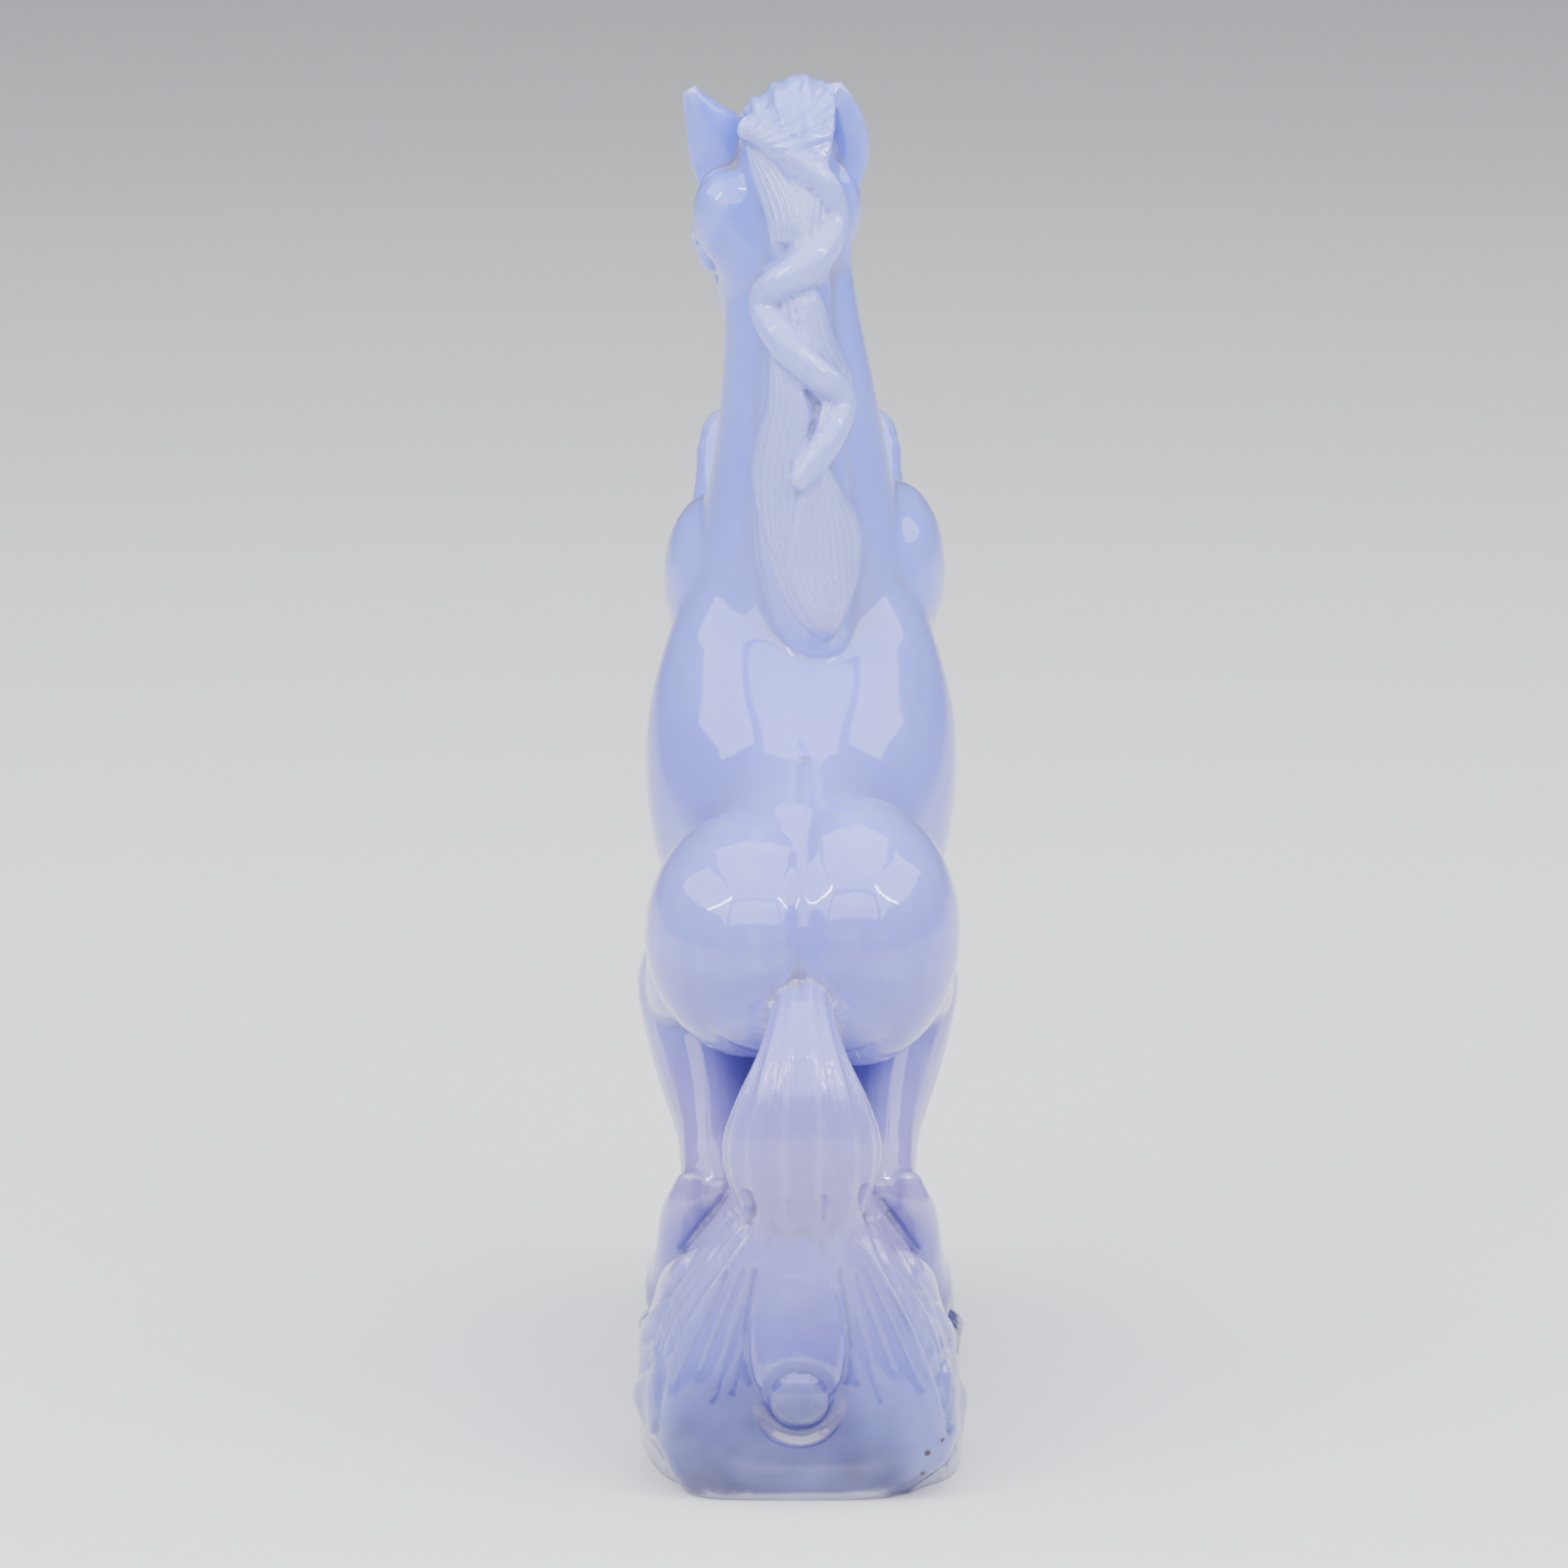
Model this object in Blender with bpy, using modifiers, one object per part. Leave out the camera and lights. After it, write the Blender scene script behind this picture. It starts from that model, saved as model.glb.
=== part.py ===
"""Rearing horse on a rock, carved from one block of blue chalcedony and polished.

Row frame: metres, +Z up. The horse faces -Y and its left side is +X. The origin is the
middle of the rock's flat underside.

The figure is free form. Its stations are written in units of a carving 150 units tall, as
(x, forward, up): forward is towards the horse's nose and up is counted from the rock's
underside. All the forms run into each other, and one skin is drawn round them all.
"""

import math

import bmesh
import bpy
import numpy as np
from mathutils import Matrix

# Driving sizes, in metres
FIGURE_HEIGHT = 0.144  # from the ground under the hooves to the top of the forelock
ROCK_LENGTH = 0.082  # along the horse
ROCK_WIDTH = 0.0365
ROCK_RISE = 0.006  # from the flat underside to the ground under the hooves

# The figure's own unit: its stations stand on ground 6 units up and reach 150 units
FIGURE_UNITS = 144.0
GROUND_UNITS = 6.0
UNIT = FIGURE_HEIGHT / FIGURE_UNITS
STANCE = 3.0  # units from the rock's middle forward to the figure's own zero

# The skins drawn round the forms: a soft one for the body, a crisp one for everything
SKIN_GRAIN = 0.0034  # side of a skin cell, as a share of the figure's height
SKIN_EASING = 0.5
BODY_PASSES = 36
BASE_PASSES = 10
WHOLE_PASSES = 4
SKIN_TRIANGLES = 9300  # what the solid keeps

STONE_COLOUR = (0.62, 0.66, 0.93, 1.0)
STONE_ROUGHNESS = 0.12


def clear_scene():
    for obj in list(bpy.data.objects):
        bpy.data.objects.remove(obj, do_unlink=True)


# Places

def in_figure(points):
    """Figure units (x, forward, up) to metres in the row frame."""
    x, forward, up = np.moveaxis(np.asarray(points, float), -1, 0)
    return np.stack([x * UNIT, -(forward + STANCE) * UNIT,
                     ROCK_RISE + (up - GROUND_UNITS) * UNIT], axis=-1)


def in_rock(points):
    """Shares of the rock (x of its half width, forward of its half length, up of its rise)."""
    x, forward, up = np.moveaxis(np.asarray(points, float), -1, 0)
    return np.stack([x * ROCK_WIDTH / 2, -forward * ROCK_LENGTH / 2, up * ROCK_RISE], axis=-1)


POLL = (3.0, 18.5, 138.0)
NOSE_DOWN = math.radians(52)
HEAD_TURN = math.radians(4)
HEAD_TILT = math.radians(10)


def in_head(points):
    """Head units (x, along the nose from the poll, out from the forehead) to metres."""
    x, along, out = np.moveaxis(np.asarray(points, float), -1, 0)
    x, out = (x * math.cos(HEAD_TILT) + out * math.sin(HEAD_TILT),
              out * math.cos(HEAD_TILT) - x * math.sin(HEAD_TILT))
    forward = along * math.cos(NOSE_DOWN) + out * math.sin(NOSE_DOWN)
    up = out * math.cos(NOSE_DOWN) - along * math.sin(NOSE_DOWN)
    turned_x = x * math.cos(HEAD_TURN) + forward * math.sin(HEAD_TURN)
    turned_forward = forward * math.cos(HEAD_TURN) - x * math.sin(HEAD_TURN)
    return in_figure(np.stack([POLL[0] + turned_x, POLL[1] + turned_forward, POLL[2] + up], axis=-1))


# Surfaces

def spline(rows, count):
    """A Catmull-Rom curve through the rows, at count places spread evenly over them."""
    rows = np.asarray(rows, float)
    ends = np.vstack([2 * rows[0] - rows[1], rows, 2 * rows[-1] - rows[-2]])
    place = np.linspace(0, len(rows) - 1, count)
    first = np.minimum(place.astype(int), len(rows) - 2)
    t = (place - first)[:, None]
    before, start, end, after = (ends[first + k] for k in range(4))
    return 0.5 * (2 * start + (end - before) * t
                  + (2 * before - 5 * start + 4 * end - after) * t ** 2
                  + (3 * start - before - 3 * end + after) * t ** 3)


def rounded(angle, squareness):
    """Unit superellipse at the angles; squareness 2 is an ellipse, more is boxier."""
    c, s = np.cos(angle), np.sin(angle)
    power = 2 / squareness
    return np.sign(c) * np.abs(c) ** power, np.sign(s) * np.abs(s) ** power


def skin_of(rings, first_pole, last_pole):
    """Closed mesh over rings of points, with a pole at each end."""
    count, sides = rings.shape[:2]
    points = np.vstack([rings.reshape(-1, 3), first_pole, last_pole])
    ring = np.arange(sides)
    after = (ring + 1) % sides
    faces = []
    for k in range(count - 1):
        low, high = k * sides, (k + 1) * sides
        faces += np.stack([low + ring, low + after, high + after, high + ring], axis=1).tolist()
    top = (count - 1) * sides
    faces += np.stack([after, ring, np.full(sides, count * sides)], axis=1).tolist()
    faces += np.stack([top + ring, top + after, np.full(sides, count * sides + 1)], axis=1).tolist()
    return points, faces


def loft(stations, place=in_figure, bias=0.0, squareness=2.0, steps=6, sides=24, dome=0.6,
         flutes=0, flute_depth=0.04):
    """A form through stations of (x, forward and up of its upper line, forward and up of its
    lower line, half width). Bias moves the widest place towards the upper line, and flutes
    run along it."""
    rows = spline(stations, (len(stations) - 1) * steps + 1)
    upper = rows[:, [0, 1, 2]]
    lower = rows[:, [0, 3, 4]]
    middle, reach = (upper + lower) / 2, (upper - lower) / 2
    angle = np.linspace(0, 2 * math.pi, sides, endpoint=False)
    swell = 1 + flute_depth * np.cos(flutes * angle) * (flutes > 0)
    c, s = (swell * part for part in rounded(angle, squareness))
    across = np.zeros((len(rows), 1, 3))
    across[:, 0, 0] = rows[:, 5]
    rings = (middle[:, None] + across * c[None, :, None]
             + reach[:, None] * (s + bias * c ** 2)[None, :, None])
    return domed(rings, middle, dome, place)


def domed(rings, middle, dome, place):
    """Rounds both ends of a form by rings that shrink, and closes it."""
    def end(ring, centre, inner):
        away = centre - inner
        away /= max(np.linalg.norm(away), 1e-9)
        size = np.linalg.norm(ring - centre, axis=1).min() * dome
        turns = np.linspace(0, math.pi / 2, 5)[1:-1]
        return [centre + (ring - centre) * math.cos(a) + away * size * math.sin(a)
                for a in turns], centre + away * size

    start, first_pole = end(rings[0], middle[0], middle[1])
    finish, last_pole = end(rings[-1], middle[-1], middle[-2])
    rings = np.concatenate([np.array(start[::-1]), rings, np.array(finish)])
    points, faces = skin_of(rings, first_pole, last_pole)
    return place(points), faces


def lock(path, width, thick, place=in_figure, across=(1, 0, 0), flutes=0, flute_depth=0.12,
         taper=(0.55, 1.0, 0.85, 0.25), steps=8, sides=20):
    """A lock of hair: a flat tapering ribbon along the path's points (x, forward, up)."""
    line = spline(path, (len(path) - 1) * steps + 1)
    tangent = np.gradient(line, axis=0)
    tangent /= np.linalg.norm(tangent, axis=1)[:, None]
    across = np.broadcast_to(np.asarray(across, float), line.shape)
    flat = across - tangent * (tangent * across).sum(axis=1)[:, None]
    flat /= np.linalg.norm(flat, axis=1)[:, None]
    out = np.cross(tangent, flat)
    size = spline(np.asarray(taper, float)[:, None], len(line))[:, 0]
    angle = np.linspace(0, 2 * math.pi, sides, endpoint=False)
    swell = 1 + flute_depth * np.cos(flutes * angle) * (flutes > 0)
    rings = (line[:, None]
             + flat[:, None] * (np.cos(angle) * swell)[None, :, None] * (width * size)[:, None, None]
             + out[:, None] * (np.sin(angle) * swell)[None, :, None] * (thick * size)[:, None, None])
    return domed(rings, line, 0.6, place)


def laid_lock(path, lay, lift, width, thick, **form):
    """A lock that lies on a form, along points as they show from the relief's side."""
    line = lay(spline(path, (len(path) - 1) * 8 + 1), lift)
    outward = lay(np.zeros((1, 2)), 1.0) - lay(np.zeros((1, 2)), 0.0)
    across = np.cross(np.gradient(line, axis=0), outward)
    return lock(line, width, thick, across=across, steps=1, **form)


def muscle(centre, radii, lean=0.0, place=in_figure, sides=24, rings=11):
    """An ellipsoid: radii along x, forward and up, leaned nose-up, in radians."""
    tilt, turn = np.meshgrid(np.linspace(-math.pi / 2, math.pi / 2, rings + 2)[1:-1],
                             np.linspace(0, 2 * math.pi, sides, endpoint=False), indexing="ij")
    ball = np.stack([np.cos(tilt) * np.cos(turn), np.cos(tilt) * np.sin(turn), np.sin(tilt)], axis=-1)
    ball, faces = skin_of(ball, (0, 0, -1), (0, 0, 1))
    x, forward, up = (ball * np.asarray(radii, float)).T
    leaned = np.stack([x, forward * math.cos(lean) - up * math.sin(lean),
                       forward * math.sin(lean) + up * math.cos(lean)], axis=-1)
    return place(leaned + np.asarray(centre, float)), faces


def shown_from(points, plane, outward, side, cell=0.9):
    """A form's skin as it shows from one side, as a relief over the plane of two of its three
    coordinates. Returns a function that lays arrays of those two on it, lifted off it."""
    low = points[:, plane].min(axis=0) - 3 * cell
    column = np.round((points[:, plane] - low) / cell).astype(int)
    reach = np.full(column.max(axis=0) + 4, -np.inf)
    np.maximum.at(reach, tuple(column.T), side * points[:, outward])

    def around():
        return np.stack([np.roll(reach, step, axis) for axis in (0, 1) for step in (-1, 1)])

    while np.isinf(reach).any():
        reach = np.where(np.isinf(reach), around().max(axis=0), reach)
    for _ in range(2):
        reach = (2 * reach + around().sum(axis=0)) / 6

    def lay(where, lift):
        spot = np.clip((where - low) / cell, 0, np.array(reach.shape) - 1.001)
        i, j = np.moveaxis(spot.astype(int), -1, 0)
        u, v = spot[..., 0] - i, spot[..., 1] - j
        near = reach[i, j] * (1 - u) + reach[i + 1, j] * u
        far = reach[i, j + 1] * (1 - u) + reach[i + 1, j + 1] * u
        laid = np.empty(where.shape[:-1] + (3,))
        laid[..., plane] = where
        laid[..., outward] = side * (near * (1 - v) + far * v + lift)
        return laid

    return lay


def leaf(first, second, lay, lift=1.2, ridge=0.5, rise=0.5, strands=0, strand_depth=0.15,
         root=2.6, steps=8, across=21):
    """A flat lock of hair, or a band of water, laid on a form between two edges. Across it, u
    runs from 0 at the first edge to 1 at the second. It stands lift above the form, with a
    round ridge that rises more at u = ridge, and thins out to both edges and ends."""
    count = (max(len(first), len(second)) - 1) * steps + 1
    u = (1 - np.cos(np.linspace(0, math.pi, across))) / 2
    v = np.linspace(0, 1, count)
    where = (spline(first, count)[:, None] * (1 - u)[None, :, None]
             + spline(second, count)[:, None] * u[None, :, None])
    edge = np.sqrt(1 - np.abs(2 * u - 1) ** 8)
    end = np.sqrt(1 - np.abs(2 * v - 1) ** 12)
    height = lift + rise * np.exp(-((u - ridge) / 0.28) ** 2)
    height = height - strand_depth * np.abs(np.sin(math.pi * strands * u))
    top = lay(where, end[:, None] * (edge * height)[None])
    under = lay(where[:, ::-1], np.full((count, across), -root))
    rings = np.concatenate([top, under], axis=1)
    points, faces = skin_of(rings, rings[0].mean(axis=0), rings[-1].mean(axis=0))
    return in_figure(points), faces


def on_side(stations, side, drift=0.0):
    """Stations given for the left side, on that side (1 left, -1 right), moved by the drift."""
    rows = np.asarray(stations, float).copy()
    rows[:, 0] = side * rows[:, 0] + drift
    return rows


def both_sides(stations, drift=0.0, **form):
    return [loft(on_side(stations, side, drift), **form) for side in (1, -1)]


def muscle_pair(centre, radii, lean=0.0, drift=0.0):
    """The same ellipsoid on both sides, both moved sideways by the drift."""
    x, forward, up = centre
    return [muscle((side * x + drift, forward, up), radii, lean) for side in (-1, 1)]


# The horse

def trunk():
    barrel = [
        (0, -35, 56, -31, 48, 9.5),
        (0, -33, 63.5, -20, 44.5, 14.6),
        (0, -23.5, 73.0, -8, 41.5, 15.7),
        (0, -11.5, 77.8, 2.5, 43, 13.9),
        (0, -3, 83.5, 14, 49, 17.2),
        (0, 4.5, 90, 25, 57, 18.1),
        (0, 9.5, 96, 34, 66, 16.2),
        (0, 20, 99, 40, 74, 13.0),
        (0, 31, 96, 42.5, 81, 8.5),
    ]
    return [loft(barrel, bias=-0.08, steps=5, sides=32)]


def neck():
    stations = [
        (0, 1, 86, 37, 72, 14.0),
        (0, 5.5, 96, 41, 84, 13.3),
        (0, 6.5, 106, 36, 97.5, 10.8),
        (0.3, 8, 116, 31.5, 109.5, 9.0),
        (1.1, 10.6, 126, 28, 119.5, 7.7),
        (1.5, 14.8, 134, 28, 126.5, 7.0),
        (2.0, 20.5, 138, 29, 131, 6.4),
    ]
    return [loft(stations, bias=-0.05, sides=28)]


def haunches():
    return [muscle((5.2, -19.4, 58.8), (12.6, 16.6, 14.2), lean=math.radians(-12)),
            muscle((-5.8, -19.2, 59.0), (12.2, 16.6, 15.4), lean=math.radians(-12))]


def hips():
    hip = [
        (8.4, -3, 64, -26, 62, 7.8),
        (9.2, 4.0, 55, -24, 52.5, 8.2),
        (9.8, 5.6, 48, -17.5, 47.5, 7.8),
        (9.8, 4.4, 44, -12, 45.5, 6.8),
    ]
    return both_sides(hip, drift=0.2)


def legs_to_hock():
    """From the thigh round the knee and back to the hock, with a crease under the buttock."""
    leg = [
        (9.4, 4.6, 55, -15, 55.5, 7.2),
        (10.0, 6.8, 48.5, -14, 51.5, 8.3),
        (10.1, 4.8, 41.5, -11, 49.5, 8.0),
        (9.7, -3.0, 34.2, -14.6, 46.8, 6.7),
        (9.1, -12.8, 29.8, -20.8, 40.2, 4.8),
        (8.8, -19.4, 26.4, -26.4, 36.0, 4.5),
        (8.6, -22.0, 24.0, -29.4, 32.6, 4.6),
    ]
    return both_sides(leg, drift=0.4)


def hind_feet():
    """From the hock down."""
    hock_and_cannon = [
        (11.5, -20.8, 29.8, -28.8, 32.8, 2.5),
        (11.8, -19.2, 27.0, -29.2, 29.0, 3.7),
        (12.3, -17.6, 23.6, -26.0, 21.8, 3.9),
        (13.1, -13.6, 21.6, -21.4, 16.8, 3.7),
        (13.5, -10.6, 19.0, -18.6, 12.4, 4.1),
        (13.5, -9.0, 14.6, -14.8, 9.6, 3.5),
    ]
    hoof = [
        (13.2, -8.2, 14.2, -15.2, 9.8, 3.4),
        (13.4, -6.2, 10.6, -14.6, 7.2, 3.9),
        (13.6, -4.0, 5.4, -14.6, 3.6, 4.5),
    ]
    return (both_sides(hock_and_cannon, drift=0.3, squareness=2.3)
            + both_sides(hoof, drift=0.3, squareness=2.4, dome=0.1))


def breast():
    forms = [muscle((10.1, 27.6, 89.2), (6.1, 12.6, 10.0), lean=math.radians(-25)),
             muscle((-10.9, 27.6, 90.2), (6.1, 12.6, 10.4), lean=math.radians(-25))]
    forms += muscle_pair((5.2, 36.5, 82), (5.6, 7.0, 8.5), lean=math.radians(-12))
    return forms


def upper_arms():
    arm = [
        (8.0, 20, 95, 22, 72, 6.0),
        (9.4, 27.5, 94, 30, 71.5, 5.8),
        (9.6, 33, 91.5, 40.0, 77, 5.4),
        (9.0, 38.0, 95.0, 45.6, 86.0, 4.6),
        (8.4, 42.6, 99.6, 49.0, 94.2, 4.0),
        (8.3, 45.0, 102.8, 50.6, 98.0, 3.9),
    ]
    return both_sides(arm, drift=np.array([-0.4, -0.4, -0.3, 0.0, 0.2, 0.2]))


def lower_foreleg(side, fold):
    """From the knee down. Fold swings it towards the chest, in radians."""
    shin = [
        (8.6, 52.4, 102.6, 45.8, 98.6, 3.4),
        (9.1, 53.4, 97.4, 47.6, 96.0, 2.9),
        (9.9, 53.0, 91.4, 48.4, 91.0, 2.3),
        (10.6, 52.6, 87.4, 48.0, 87.6, 2.4),
        (11.0, 52.4, 83.4, 46.6, 85.6, 3.0),
        (11.4, 49.6, 79.4, 45.2, 83.2, 2.5),
    ]
    hoof = [
        (11.5, 48.8, 78.4, 44.0, 83.4, 2.9),
        (11.8, 46.4, 75.2, 41.4, 81.0, 3.4),
        (12.0, 43.6, 71.8, 37.8, 78.6, 4.1),
    ]
    knee = (8.4, 48.6, 101.0)

    def swung(stations):
        rows = np.asarray(stations, float).copy()
        for columns in ((1, 2), (3, 4)):
            forward, up = rows[:, columns[0]] - knee[1], rows[:, columns[1]] - knee[2]
            rows[:, columns[0]] = knee[1] + forward * math.cos(fold) + up * math.sin(fold)
            rows[:, columns[1]] = knee[2] + up * math.cos(fold) - forward * math.sin(fold)
        return on_side(rows, side, drift=0.2)

    return [muscle((side * knee[0] + 0.2, knee[1], knee[2]), (3.5, 3.9, 4.3)),
            loft(swung(shin)),
            loft(swung(hoof), squareness=2.4, dome=0.1)]


def skull():
    stations = [
        (0, -2, 0.5, -2, -7, 5.4),
        (0, 2, 3.4, 1, -10.5, 7.8),
        (-0.2, 7, 4.7, 6, -12.8, 8.3),
        (-0.4, 12, 4.3, 11.5, -12.8, 7.7),
        (0, 18, 2.7, 17.5, -10.8, 6.6),
        (0, 24, 1.3, 24, -8.2, 5.2),
        (0, 30, 1.1, 30, -6.6, 4.7),
        (0, 34.5, 0.9, 34.5, -6.4, 5.0),
        (0, 37.8, -1.2, 37.6, -5.8, 4.1),
    ]
    forms = [loft(stations, place=in_head, squareness=2.3, bias=0.2)]
    for side in (-1, 1):
        forms.append(muscle((side * 4.5, 7.4, -5.0), (2.9, 6.0, 5.8), place=in_head))
        forms.append(muscle((side * 6.1, 3.4, -1.8), (3.8, 6.4, 5.2), place=in_head))
        forms.append(muscle((side * 7.2, 8.2, 0.4), (2.5, 4.4, 2.6), place=in_head))
    return forms + [muscle((1.8, 18.0, 139.5), (5.6, 7.6, 7.4))]


def face():
    """Lower jaw, eyes and nostrils."""
    jaw = [
        (0, 14, -6, 13, -12.4, 4.6),
        (0, 21, -5.2, 20.5, -11.0, 4.2),
        (0, 28, -5.6, 28, -9.8, 3.6),
        (0, 33.0, -6.4, 33.0, -10.4, 3.5),
        (0, 35.6, -7.2, 35.4, -10.0, 2.7),
    ]
    forms = [loft(jaw, place=in_head, squareness=2.2)]
    for side in (-1, 1):
        forms.append(muscle((side * 7.3, 10.0, -1.7), (1.7, 2.1, 1.6), place=in_head))
        forms.append(muscle((side * 3.2, 34.2, -1.3), (1.6, 2.4, 1.9), place=in_head))
    return forms


def ear(path, half_width, thick, cup, facing):
    """A leaf along the path, hollow in front: its section is a crescent of the given cup."""
    centre = spline(path, 17)
    along = np.gradient(centre, axis=0)
    along /= np.linalg.norm(along, axis=1)[:, None]
    facing = np.asarray(facing, float)
    front = facing - along * (along @ facing)[:, None]
    front /= np.linalg.norm(front, axis=1)[:, None]
    flat = np.cross(along, front)
    shape = spline([[0.7], [1.0], [0.86], [0.5], [0.2]], len(centre))
    c, s = rounded(np.linspace(0, 2 * math.pi, 24, endpoint=False), 3.0)
    wide = half_width * shape * c[None]
    deep = (0.4 + 0.6 * shape) * (thick * s + cup * c ** 2)[None]
    rings = centre[:, None] + wide[..., None] * flat[:, None] + deep[..., None] * front[:, None]
    return domed(rings, centre, 0.3, in_figure)


def ears():
    left = [(6.8, 18.5, 135.2), (7.7, 18.0, 139.6), (9.3, 17.0, 142.8), (11.1, 16.2, 145.8), (12.6, 15.6, 148.6)]
    right = [(-3.2, 18.5, 135.4), (-4.0, 18.0, 140.5), (-4.1, 17.0, 144.3), (-4.0, 16.2, 147.2), (-3.7, 15.6, 149.2)]
    return [ear(left, 4.4, 1.15, 1.6, (0.35, 0.9, 0)), ear(right, 3.4, 1.15, 1.5, (-0.35, 0.9, 0))]


def forelock():
    """A fan of locks combed back over the poll from the forehead."""
    paths = [
        [(0.6, 27.6, 132.4), (-0.8, 26, 138.6), (-1.5, 22, 144), (-1.7, 17, 147.8), (-1.9, 12, 145),
         (-1.8, 9, 139)],
        [(1.6, 28.6, 131.4), (0.8, 27, 138.4), (0.3, 22.6, 144.8), (0.1, 17, 148.5), (-0.6, 11.5, 145.4),
         (-1.2, 8.6, 139)],
        [(3.0, 28.4, 131.8), (2.6, 26.8, 138), (2.2, 22.4, 144.2), (1.9, 16.6, 147.8), (0.8, 11.4, 145),
         (-0.4, 8.6, 139)],
        [(4.4, 27.4, 133.0), (4.4, 25.6, 138), (4.3, 21.6, 143), (4.2, 16.6, 146.2), (2.8, 11.8, 144),
         (0.6, 8.8, 139.6)],
    ]
    return [lock(path, 2.2, 1.7, across=(1, 0.15, 0), taper=(0.3, 0.8, 1.0, 0.95, 0.5),
                 flutes=7, flute_depth=0.07, sides=36) for path in paths]


def crest():
    stations = [
        (-1.6, 1.0, 84, 8, 82, 2.4),
        (-1.4, -0.8, 89, 9, 87, 4.0),
        (-0.4, 1.0, 98, 12, 96, 5.4),
        (-0.2, 2.2, 107, 12, 106, 5.2),
        (0.2, 3.8, 118, 14, 116, 4.4),
        (0.4, 6.0, 128, 16, 125, 3.8),
        (0.4, 8.0, 137, 20, 134, 4.2),
        (0.8, 12.4, 143.6, 24, 140, 4.6),
    ]
    return [loft(stations)]


def mane(lay):
    """Flat locks that twist down the crest from side to side and spread on the withers, each
    between two edges of (x, up) as they show from behind, and the thick lock that winds over
    them."""
    withers = leaf([(4.4, 99.5), (3.0, 95.0), (1.4, 91.6), (-0.6, 89.4), (-2.6, 88.2)],
                   [(-1.4, 100.5), (-2.4, 96.0), (-3.4, 92.6), (-3.8, 90.4), (-3.9, 88.2)],
                   lay, lift=0.7, ridge=0.3, rise=0.2, strands=3)
    left_leaf = leaf([(3.6, 121), (3.9, 115), (4.8, 111.6), (5.5, 108), (5.5, 104.5), (4.6, 100.4), (3.0, 97)],
                     [(1.4, 120), (-0.8, 114.6), (-0.6, 110.6), (0.0, 107), (0.3, 104), (1.0, 100), (1.8, 97)],
                     lay, lift=1.1, ridge=0.12, rise=0.5, strands=6)
    right_leaf = leaf([(-0.6, 109), (0.4, 104), (1.6, 100.4), (2.4, 97), (1.4, 94), (-0.4, 91), (-2.2, 88.8)],
                      [(-2.4, 109), (-4.4, 105.2), (-6.0, 102), (-6.9, 99), (-6.9, 96), (-6.2, 92.6), (-3.6, 88.2)],
                      lay, lift=1.4, ridge=0.88, rise=0.5, strands=6)
    third_twist = leaf([(-2.4, 115.2), (-1.8, 113), (-1.2, 110.2), (0.2, 107.6), (1.4, 105.4)],
                       [(-5.9, 116), (-4.7, 113.4), (-3.8, 110.6), (-2.4, 107.6), (-0.4, 104.8)],
                       lay, lift=1.6, ridge=0.4, rise=0.3, strands=4)
    second_twist = leaf([(4.6, 128), (4.9, 125.6), (4.2, 122.6), (2.4, 119.8), (0, 117), (-2.6, 114.4)],
                        [(-1.6, 127.4), (-2.8, 125.2), (-3.6, 122), (-4.8, 119), (-5.9, 116.4), (-5.4, 114.2)],
                        lay, lift=1.2, ridge=0.5, rise=0.2, strands=6)
    first_fold = leaf([(-0.8, 138.6), (-0.2, 136.2), (0.5, 133.8), (1.9, 131.2), (4.6, 129.0)],
                      [(-4.0, 138.2), (-4.6, 135), (-4.4, 132), (-2.8, 128.4), (2.6, 126.4)],
                      lay, lift=1.3, ridge=0.6, rise=0.2, strands=5)
    first_twist = leaf([(6.6, 144), (6.2, 141), (5.2, 137.8), (4.2, 135), (3.6, 132)],
                       [(5.2, 145), (2.0, 142.6), (-1.2, 140), (-2.6, 137.0), (-1.6, 132.6)],
                       lay, lift=1.0, ridge=0.5, rise=0.1, strands=6)
    winding = [(6.2, 144.6), (4.2, 143.8), (1.0, 142.0), (-1.8, 139.4), (-3.3, 136.2), (-2.8, 132.8), (-0.4, 130.0),
               (2.4, 127.9), (3.9, 126.0), (3.3, 123.6), (1.4, 121.0), (-0.8, 118.8), (-3.0, 116.8), (-4.2, 114.9),
               (-3.8, 112.6), (-2.8, 110.4), (-1.4, 108.2), (0.2, 105.8)]
    thick_lock = laid_lock(winding, lay, lift=0.9, width=2.0, thick=1.75, taper=(0.8, 1.0, 1.1, 1.0, 1.0, 0.7))
    return [withers, left_leaf, right_leaf, third_twist, second_twist, first_fold, first_twist, thick_lock]


def tail():
    """From the dock out and down in a full bulb, drawn in above the rock."""
    bulb = [
        (0, -28, 58.5, -27, 49, 3.0),
        (0, -35, 57.4, -32, 49.5, 3.4),
        (0, -41, 53.6, -34, 46.5, 4.7),
        (0, -45.2, 48.0, -34.5, 43, 7.0),
        (0, -46.6, 42, -34.5, 40, 8.5),
        (0, -46.0, 37, -33.5, 37, 8.3),
        (0, -44.0, 33.4, -32.5, 33.6, 7.4),
        (0, -42.6, 30, -31.5, 30, 7.0),
        (0, -42.8, 26, -30.5, 26, 8.0),
    ]
    return [loft(bulb, squareness=2.2, sides=84, flutes=14, flute_depth=0.03)]


# The rock, and the hair and waves that lie on it

def rock():
    body = [
        (-0.03, -0.92, 1.20, -0.86, -1.60, 0.68),
        (-0.04, -0.78, 2.10, -0.76, -1.60, 0.90),
        (0, -0.45, 1.60, -0.45, -1.60, 1.00),
        (0, 0.00, 1.30, 0.00, -1.60, 1.00),
        (0, 0.40, 1.50, 0.40, -1.60, 0.98),
        (0, 0.75, 1.35, 0.75, -1.60, 0.84),
        (0, 0.94, 0.90, 0.92, -1.60, 0.52),
    ]
    return [loft(body, place=in_rock, squareness=3.2, sides=40)]


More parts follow.
